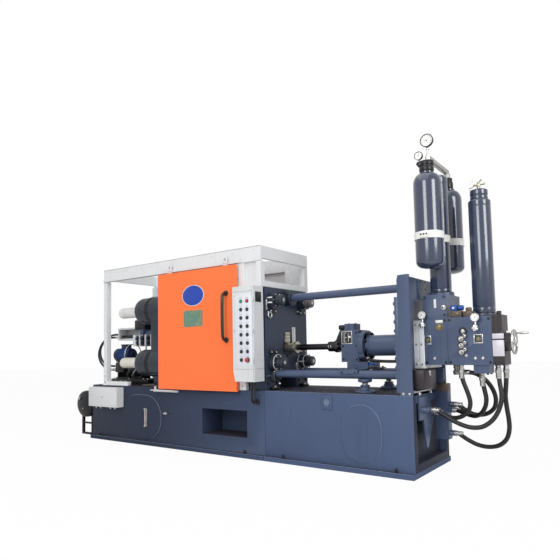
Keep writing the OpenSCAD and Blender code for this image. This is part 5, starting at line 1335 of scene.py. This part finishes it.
def guard_dress():
    """Screws, foot plates, the fascia's folded lips and the door's stop."""
    screws = spots(hex_head, (-1755, 330), -400, (660, 730), FRONT, 14, 6)
    for x in np.linspace(-1660, 500, 9):
        if not (-700 < x < -550 or 80 < x < 220):
            screws.append(turned([(0, 0), (0, 6), (2.2, 4.6), (3, 0)], (x, -400, 1940), FRONT, 12))
    lips = [block((-1785, -402.2, 1830), (572, -399, 1833), 1),
        block((-1785, -402.2, 1971), (572, -399, 1975.2), 1)]
    for x in (-1200, -600, 0):
        lips.append(block((x - 0.8, -400.6, 1833.5), (x + 0.8, -399, 1970.5), 0.3))
    plates = [block((-1800, y, 624.2), (-1710, y + 76, 632), 2) for y in (-412, 336)]
    screws += spots(hex_head, (-1500, -1420), -372, 670, UP, 18)
    for y in (-370, 370):
        screws += spots(hex_head, (400, 520), y, 1646, UP, 18)
    build_set("guard_frame", guard_screws=(screws, fitting_zinc), guard_foot_plates=(plates, white_coat),
        guard_lips=(lips, seam_grey))
    pin = [ringed([(0, 9.5), (30, 9.5), (34, 7)], (-880, -403, 600), UP, 20, 1)]
    build("door_stop", pin, white_coat, "door_rails")


# Clamp side, seen past the open left end of the guard

def tie_bars():
    """Ground bars through the platens, painted ends on the injection side, ribbed tail covers."""
    rods, ends, brown, covers, caps = [], [], [], [], []
    for y in TIE_Y:
        for z in TIE_Z:
            rods.append(drum((-1262, y, z), RIGHT, 1885, 49.7, 2, 40))
            steps = [(0, 49.9), (52, 49.9), (54, 45.5), (60, 45.5), (62, 49.5), (86, 49.5), (92.9, 44)]
            (ends if y < 0 or z < 1000 else brown).append(ringed(steps, (623, y, z), RIGHT, 40, 2))
            if z > 1000:
                ribs = [(0, 46), (6, 57), (16, 61.2)]
                for k in range(13):
                    ribs += [(24 + 26 * k, 61.8), (40 + 26 * k, 61.8), (43 + 26 * k, 59.8),
                        (47 + 26 * k, 59.8)]
                ribs += [(373.5, 61.2)]
                covers.append(turned([(0, 0)] + ribs + [(373.5, 0)], (-1634, y, z), RIGHT, 40))
            else:
                cap = [(45 * (1 - math.cos(a)), 61 * (0.3 + 0.7 * math.sin(a)))
                    for a in np.linspace(0, np.pi / 2, 9)]
                caps.append(turned([(0, 0)] + cap + [(300, 61), (303, 61.8), (373.5, 61.8), (373.5, 0)],
                    (-1634, y, z), RIGHT, 40))
    build_set("tie_bars", whole=True, tie_bar_rods=(rods, tie_chrome), tie_bar_ends_dark=(ends, nut_enamel),
        tie_bar_end_pale=(brown, worn_grey), tie_bar_covers=(covers, cover_white),
        tie_bar_caps=(caps, cream))


def geared_nuts():
    """Round nut casings with a toothed rim, a domed end, ribs and screws."""
    casings, screws, rims = [], [], []
    teeth = 36
    t = np.linspace(0, 2 * np.pi, teeth * 8, endpoint=False)
    phase = t * teeth / (2 * np.pi) % 1
    tooth = np.clip(np.minimum(phase, 1 - phase) * 5 - 0.6, 0, 1)
    for y in TIE_Y:
        for z in TIE_Z:
            profile = [(0, 62.5), (0, 118), (6, 130), (18, 140.5), (34, 147), (52, 150.8), (110, 150.8),
                (112, 148.5), (118, 148.5), (120, 150.8), (186, 150.8), (189.5, 148)]
            casings.append(turned([(0, 0)] + profile + [(189.5, 0)], (-1260, y, z), RIGHT, 64))
            screws += bolt_circle((-1260.2, y, z), LEFT, 96, 8, 18, socket_screw)
            rims.append(waved([(x, (151.8 + tall * tooth) * share)
                for x, share, tall in ((-1070, 0.955, 3.5), (-1068.5, 0.975, 3.5), (-1066, 1, 7),
                (-1014, 1, 7), (-1011.5, 0.975, 3.5), (-1010.3, 0.955, 3.5))], (y, z)))
    build_set("geared_nuts", whole=True, nut_casings=(casings, nut_enamel), nut_gears=(rims, black_steel),
        nut_screws=(screws, fitting_zinc))


def clamp_valves():
    """Wiring channel with its cables, black coil boxes and a stack of valves between pale plates."""
    pale, dark, coils, wires, brown_wires = [], [], [], [], []
    for low, high in (((-1937, -80, 1150), (-1917, 80, 1300)), ((-1916.8, -80, 1150), (-1607, 80, 1170)),
            ((-1916.8, -80, 1280), (-1607, 80, 1300)), ((-1916.8, 60, 1170.2), (-1607, 80, 1279.8))):
        pale.append(block(low, high, 2))
    for x0, x1 in ((-1496, -1446), (-1390, -1372), (-1290, -1272), (-1190, -1172)):
        pale.append(block((x0, -208, 1070), (x1, -150, 1204), 4))
    dark += [block((-1625, -80, 1270.3), (-1440.5, 80, 1386), 8),
        block((-1612, -66, 1384), (-1453, 66, 1390.5), 3)]
    for x0, x1 in ((-1445.5, -1390.5), (-1371.5, -1290.5), (-1271.5, -1190.5), (-1171.5, -1100.5)):
        dark.append(block((x0, -196, 1079), (x1, -100, 1191), 6))
        middle = (x0 + x1) / 2
        coils += [ringed([(0, 19), (22, 19), (24, 16), (30, 15)], (middle, -196.2, 1160), FRONT, 20),
            ringed([(0, 16), (20, 16), (22, 12), (28, 12)], (middle, -196.2, 1110), FRONT, 6)]
    dark.append(block((-1460, -150, 1100), (-1110, -100.5, 1180), 4))
    for y, z in ((30, 1225), (-40, 1190)):
        pale.append(ringed([(0, 16.5), (8, 16.5), (10, 19.8), (21.5, 19.8)], (-1958.8, y, z), RIGHT, 6))
    for k, (y, z, r) in enumerate(((-55, 1182, 9), (-30, 1181, 8), (-50, 1202, 8), (0, 1183, 10),
            (-20, 1203, 8), (30, 1182, 9))):
        line = smooth_route([(-1905, y, z), (-1830, y + 4, z + 2), (-1750, y - 4, z + 1),
            (-1680, y, z + 3), (-1626, y, z + 5)], 20)
        (brown_wires if k % 3 == 1 else wires).append(hose_tube(line, r, 10))
    build_set("clamp_valves", whole=True, channel_and_plates=(pale, pale_grey),
        valve_stack=(dark, black_enamel), valve_coils=(coils, coil_blue),
        channel_cables_dark=(wires, hose_rubber), channel_cables_brown=(brown_wires, brick))


def pump_set():
    """A ribbed blue motor with its end shields, fan cover and terminal box over two dark pumps."""
    centre = np.array([-60, 970])
    ribs = 30
    t = np.linspace(0, 2 * np.pi, ribs * 6, endpoint=False)
    phase = t * ribs / (2 * np.pi) % 1
    high = (phase < 0.42).astype(float)
    blue = [waved([(x, 70 + 12.5 * high * share) for x, share in ((-1890, 0.0), (-1890, 0.6), (-1888, 1.0),
        (-1712, 1.0), (-1710, 0.6), (-1710, 0.0))], centre)]
    shields = [ringed([(0, 60), (4, 76), (12, 82), (68, 82), (70, 78)], (-1960, *centre), RIGHT, 48, 2),
        ringed([(0, 79), (18, 79), (22, 70), (30, 52), (34, 34), (40, 32)], (-1710, *centre), RIGHT, 48, 2)]
    for k in range(8):
        a = math.pi * k / 4 + 0.2
        place = centre + 66 * np.array([math.cos(a), math.sin(a)])
        shields.append(ringed([(0, 9), (21, 9)], (-1708, *place), RIGHT, 14, 1))
    shields += [block((-1850, -100, 1048), (-1750, -20, 1092), 6),
        block((-1856, -106, 1090.5), (-1744, -14, 1100), 3)]
    dark = [block((-1980, -150, 624.3), (-1300, 150, 684), 5),
        block((-1940, -110, 684.2), (-1700, 60, 700), 3), block((-1925, -100, 699), (-1900, 50, 900), 4),
        block((-1740, -100, 699), (-1715, 50, 900), 4), block((-1940, -110, 886), (-1700, 60, 909.8), 4),
        block((-1620, -130, 684.2), (-1440, 10, 716), 4)]
    pump = [(0, 50), (6, 88), (30, 94.5), (70, 94.5), (73, 86), (150, 82), (153, 94.5), (190, 94.5),
        (193, 74), (250, 68), (270, 52), (289.5, 48)]
    dark.append(ringed(pump, (-1670, -60, 800), RIGHT, 44, 2))
    for x in (-1655, -1500):
        dark.append(block((x, -75, 715), (x + 30, -45, 730), 3))
    dark.append(block((-1900, -150, 760), (-1742, 20, 880), 10))
    zinc = []
    for y, z in ((-20, 830), (-95, 790)):
        zinc.append(ringed([(0, 16.5), (14, 16.5), (16, 19.8), (51.5, 19.8)], (-1991.8, y, z), RIGHT, 6))
        dark.append(block((-1940, y - 26, z - 24), (-1898, y + 26, z + 24), 4))
    zinc += bolt_circle((-1597, -60, 800), RIGHT, 82, 6, 14, socket_screw)
    zinc += bolt_circle((-1479.5, -60, 800), RIGHT, 84, 6, 14, socket_screw)
    zinc += spots(hex_head, (-1950, -1660, -1400, -1330), (-130, 130), 684, UP, 20)
    suction = smooth_route([(-1560, -60, 710), (-1560, -150, 712), (-1540, -175, 730), (-1470, -182, 800),
        (-1380, -180, 900), (-1330, -172, 980), (-1310, -165, 1060), (-1308, -160, 1078.5)], 15)
    pale = [hose_tube(suction, 10.5, 12)]
    arc = smooth_route([(-1700, -147, 884), (-1695, -165, 930), (-1690, -172, 985), (-1688, -150, 1050),
        (-1686, -100, 1090), (-1684, -30, 1094), (-1682, 30, 1070), (-1680, 58, 1010), (-1680, 56, 911)],
        15)
    pale.append(hose_tube(arc, 6.2, 10))
    build_set("pump_motors", whole=True, pump_motor=(blue, motor_blue), motor_shields=(shields, coil_blue),
        pump_bodies=(dark, black_enamel), pump_screws=(zinc, fitting_zinc), pump_pipes=(pale, fitting_zinc))


def aux_tank():
    """A dished tank with weld seams and two straps on a welded stand, its pipe into the bed."""
    x, z, r = -2290, 376, 158.8
    dish = [(50 * (1 - math.cos(a)), r * math.sin(a)) for a in np.linspace(0.02, np.pi / 2, 12)]
    far = [(609.5 - s, q) for s, q in reversed(dish)]
    shell = [(0, 0)] + dish + [(56, r), (58, r + 1.6), (63, r + 1.6), (65, r), (545, r), (547, r + 1.6),
        (552, r + 1.6), (554, r)] + far + [(609.5, 0)]
    parts = [turned(shell, (x, -344.8, z), BACK, 64)]
    for y in (-255, 205):
        parts.append(hoop([(0, r - 1), (0, r + 2.8), (30, r + 2.8), (30, r - 1)], (x, y - 15, z), BACK, 64))
    for y in (-270, 190):
        for s in (-1, 1):
            parts.append(block((x + s * 95 - 15, y, 24), (x + s * 95 + 15, y + 30, 290), 3))
        parts += [block((x - 110, y, 0.3), (x + 110, y + 30, 24), 3),
            block((x - 100, y + 4, 130), (x + 100, y + 26, 150), 3)]
    parts.append(ringed([(140, 29.5), (266, 29.5), (266, 54), (289.5, 54)], (x, -60, 436), RIGHT, 32, 2))
    build("tank_body", parts, black_enamel, "aux_tank", whole=True)
    zinc = [ringed([(0, 14), (10, 14), (12, 19), (26, 19)], (x - 45, -333, z + 70), FRONT, 24),
        ringed([(0, 9), (14, 9)], (x + 30, -343, z - 50), FRONT, 6)]
    zinc += bolt_circle((-2023.8, -60, 436), LEFT, 42, 6, 12, socket_screw)
    build("tank_fittings", zinc, fitting_zinc, "aux_tank")


def junction_box():
    """Lid with a folded rim, screws, a lock and cable glands."""
    lid = [block((-1946.5, -488, 387.5), (-1433.5, -484.8, 602.5), 1.2)]
    build("junction_lid", lid, pale_grey, "junction_box")
    metal = []
    for x in (-1930, -1450):
        for z in (404, 586):
            metal.append(turned([(0, 0), (0, 6), (2, 4.8), (3, 2), (3, 0)], (x, -488, z), FRONT, 14))
    metal.append(ringed([(0, 11), (4, 11), (6, 7)], (-1690, -488, 495), FRONT, 24, 1))
    for x in (-1860, -1780, -1600, -1520):
        metal.append(ringed([(0, 15), (12, 15), (14, 11), (24, 10)], (x, -440, 383.8), DOWN, 6))
    build("junction_fittings", metal, fitting_zinc, "junction_box")


def bed_dress():
    """Weld beads round the covers, anchor nuts, level gauge and small fittings, with painted highlights on
    the beads and the bed's edges and painted shade on its end.
    """
    beads, sheets, nuts = [], [], []
    turns = np.linspace(0, 2 * np.pi, 8, endpoint=False)
    for x0, x1, z0, z1, r in ((-1440, -807, 58, 531, 236), (1383, 1728, 85, 538, 172)):
        middle = (x0 + x1) / 2, (z0 + z1) / 2
        outline = round_corners(x1 - x0, z1 - z0, r, 14)
        ripple = 1 + 0.15 * np.sin(np.arange(len(outline)) * 2.4)
        out = outline / np.linalg.norm(outline, axis=1)[:, None] * 4.2 * ripple[:, None]
        x, z = ((outline + middle)[:, :, None] + out[:, :, None] * np.cos(turns)).transpose(1, 0, 2)
        for y in (-391.2, 391.2):
            deep = y + 0 * x + 3.6 * np.sin(turns)
            beads.append(surface(np.stack([x, deep, z], -1), round_rows=True, round_columns=True))
        rows = (389.7, 1.0), (397.2, 1.0), (399, 0.994), (399, 0.9)
        sheets.append([facing_sheet([(outline * k, side * y) for y, k in rows], middle)
            for side in (-1, 1)])
    # The weld beads are real. Their lighter grey is partly a painted highlight along the covers' edges.
    build("cover_welds", beads, mark_and_highlight_grey, "bed_covers")
    # Painted highlights: thin light strips along the bed's top front edge and along its foot edges.
    edges = [block((592, -391.2, 622.2), (1996, -388, 625.2), 0.8),
        block((592, -426.2, 38), (1996, -422.2, 41.2), 0.8),
        block((-1996, -426.2, 38), (578, -422.2, 41.2), 0.8)]
    build("painted_edge_highlights", edges, mark_and_highlight_grey, "bed_right")
    # Painted shade: thin dark sheets over the bed's end faces and the recess behind them darken these faces
    # as if they were in shade.
    painted_shade_sheets = [block((1940.3, -329.7, 100.3), (1941.2, 329.7, 563.7), 0.2),
        block((2000.3, -389, 41), (2001, 389, 99.7), 0.2),
        block((2000.3, -389, 100), (2001, -330.3, 621.5), 0.2),
        block((2000.3, 330.3, 100), (2001, 389, 621.5), 0.2)]
    build("bed_end_painted_shade", painted_shade_sheets, painted_end_shade, "bed_right")
    top = 690
    build("manifold_cap", [block((2030, 78.8, top - 62), (2111, 161.2, top + 3), 3),
        ringed([(0, 16), (14, 16), (16, 11), (30, 11)], (2070, 120, top + 3), UP, 20)], brick,
        "bed_end_fittings")
    build("cover_sheets_left", sheets[0], shaded_clamp_bed_paint, "bed_covers", whole=True)
    tab = block((1190, -398, 490), (1293, -389.7, 612), 2)
    build("cover_sheet_right", sheets[1] + [tab], shot_bed_paint, "bed_covers")
    for x in (-1850, 350, 785, 1850):
        for y in (-408, 408):
            nuts += hex_head((x, y, 40), UP, 26, 16)
            nuts.append(ringed([(0, 8), (20, 8)], (x, y, 52), UP, 12))
    build("bed_screws", nuts, black_steel, "bed_right")
    silver = [block((-1057, -404.5, 196), (-1021, -399.2, 389), 2)]
    for z in (204, 381):
        silver += [ringed([(0, 11), (12, 11), (14, 9), (20, 9)], (-1039, -404, z), FRONT, 6),
            block((-1050, -420, z - 12), (-1028, -404, z + 12), 3)]
    glass = [drum((-1039, -413, 214), UP, 157, 7.2, 1, 20)]
    build_set("level_gauge", whole=True, gauge_frame=(silver, ground_steel), gauge_glass=(glass, oil_glass))
    small = [ringed([(0, 16), (8, 16), (10, 11), (26, 11)], (-735, -390.2, 352), FRONT, 6),
        block((-752, -416, 345), (-690, -406, 359), 3)]
    build("bed_fittings", small, fitting_zinc, "bed_left")
    mark = [ringed([(0, 27), (3, 27), (3.6, 24), (3.6, 19), (1, 18)], (1241.5, -397.8, 548), FRONT, 28)]
    wedge = [(1226, -397.8, 512), (1241.5, -397.8, 546), (1257, -397.8, 512), (1249, -397.8, 512),
        (1241.5, -397.8, 531), (1234, -397.8, 512)]
    mark.append(slab(wedge, FRONT, 4, 0.8))
    build("tab_mark", mark, mark_and_highlight_grey, "bed_covers")


# Lights and floor

def light_stage():
    """A pale floor, a white surround and three large soft lamps."""
    world = bpy.data.worlds.new("surround")
    bpy.context.scene.world = world
    world.use_nodes = True
    tree = world.node_tree
    tree.nodes.clear()
    rays = tree.nodes.new("ShaderNodeLightPath")
    seen = maths(tree, "MAXIMUM", rays.outputs["Is Camera Ray"], rays.outputs["Is Transmission Ray"])
    seen = maths(tree, "MAXIMUM", seen, maths(tree, "MULTIPLY", rays.outputs["Is Glossy Ray"], 0.5))
    strength = spread(tree, seen, 0.0, 1.0, 0.46, 1.0)
    sky = put(tree, "ShaderNodeBackground", Color=(1, 1, 1, 1), Strength=strength)
    out = tree.nodes.new("ShaderNodeOutputWorld")
    tree.links.new(sky.outputs[0], out.inputs["Surface"])
    floor_points = np.array([[[-30, -30, -0.0006], [30, -30, -0.0006]],
        [[-30, 30, -0.0006], [30, 30, -0.0006]]], float)
    mesh = bpy.data.meshes.new("floor")
    points, faces = surface(floor_points)
    mesh.from_pydata(points.tolist(), [], faces)
    floor = bpy.data.objects.new("floor", mesh)
    bpy.context.scene.collection.objects.link(floor)
    pale, tree, shader = new_material("pale floor")
    shader.inputs["Base Color"].default_value = 0.86, 0.86, 0.86, 1
    shader.inputs["Roughness"].default_value = 0.7
    glow = put(tree, "ShaderNodeEmission", Color=(1, 1, 1, 1), Strength=1.0)
    rays = tree.nodes.new("ShaderNodeLightPath")
    amount = maths(tree, "MULTIPLY", rays.outputs["Is Camera Ray"], 0.96)
    blend = put(tree, "ShaderNodeMixShader", Fac=amount)
    tree.links.new(shader.outputs[0], blend.inputs[1])
    tree.links.new(glow.outputs[0], blend.inputs[2])
    tree.links.new(blend.outputs[0], tree.nodes["Material Output"].inputs["Surface"])
    mesh.materials.append(pale)
    for label, place, target, size, power in (("lamp above", (0.5, -2.0, 6.5), (0.3, 0, 0.8), 7.0, 150.0),
            ("lamp in front", (1.5, -8.5, 4.2), (0.3, 0, 1.0), 3.4, 240.0),
            ("lamp at the injection end", (8.5, -2.5, 4.0), (1.0, 0, 1.0), 3.0, 225.0)):
        data = bpy.data.lights.new(label, "AREA")
        data.size = size
        data.energy = power
        lamp = bpy.data.objects.new(label, data)
        bpy.context.scene.collection.objects.link(lamp)
        lamp.location = place
        lamp.rotation_euler = (Vector(target) - Vector(place)).to_track_quat("-Z", "Y").to_euler()


# Build

bottle_straps()
gas_bottles()
bottle_tops()
accumulators()
block_dress()
end_valve_dress()
injection_dress()
platen_dress()
end_frame_dress()
front_door()
door_handle()
control_box()
guard_dress()
tie_bars()
geared_nuts()
clamp_valves()
pump_set()
aux_tank()
junction_box()
bed_dress()
light_stage()

bpy.context.scene.view_settings.view_transform = "Standard"
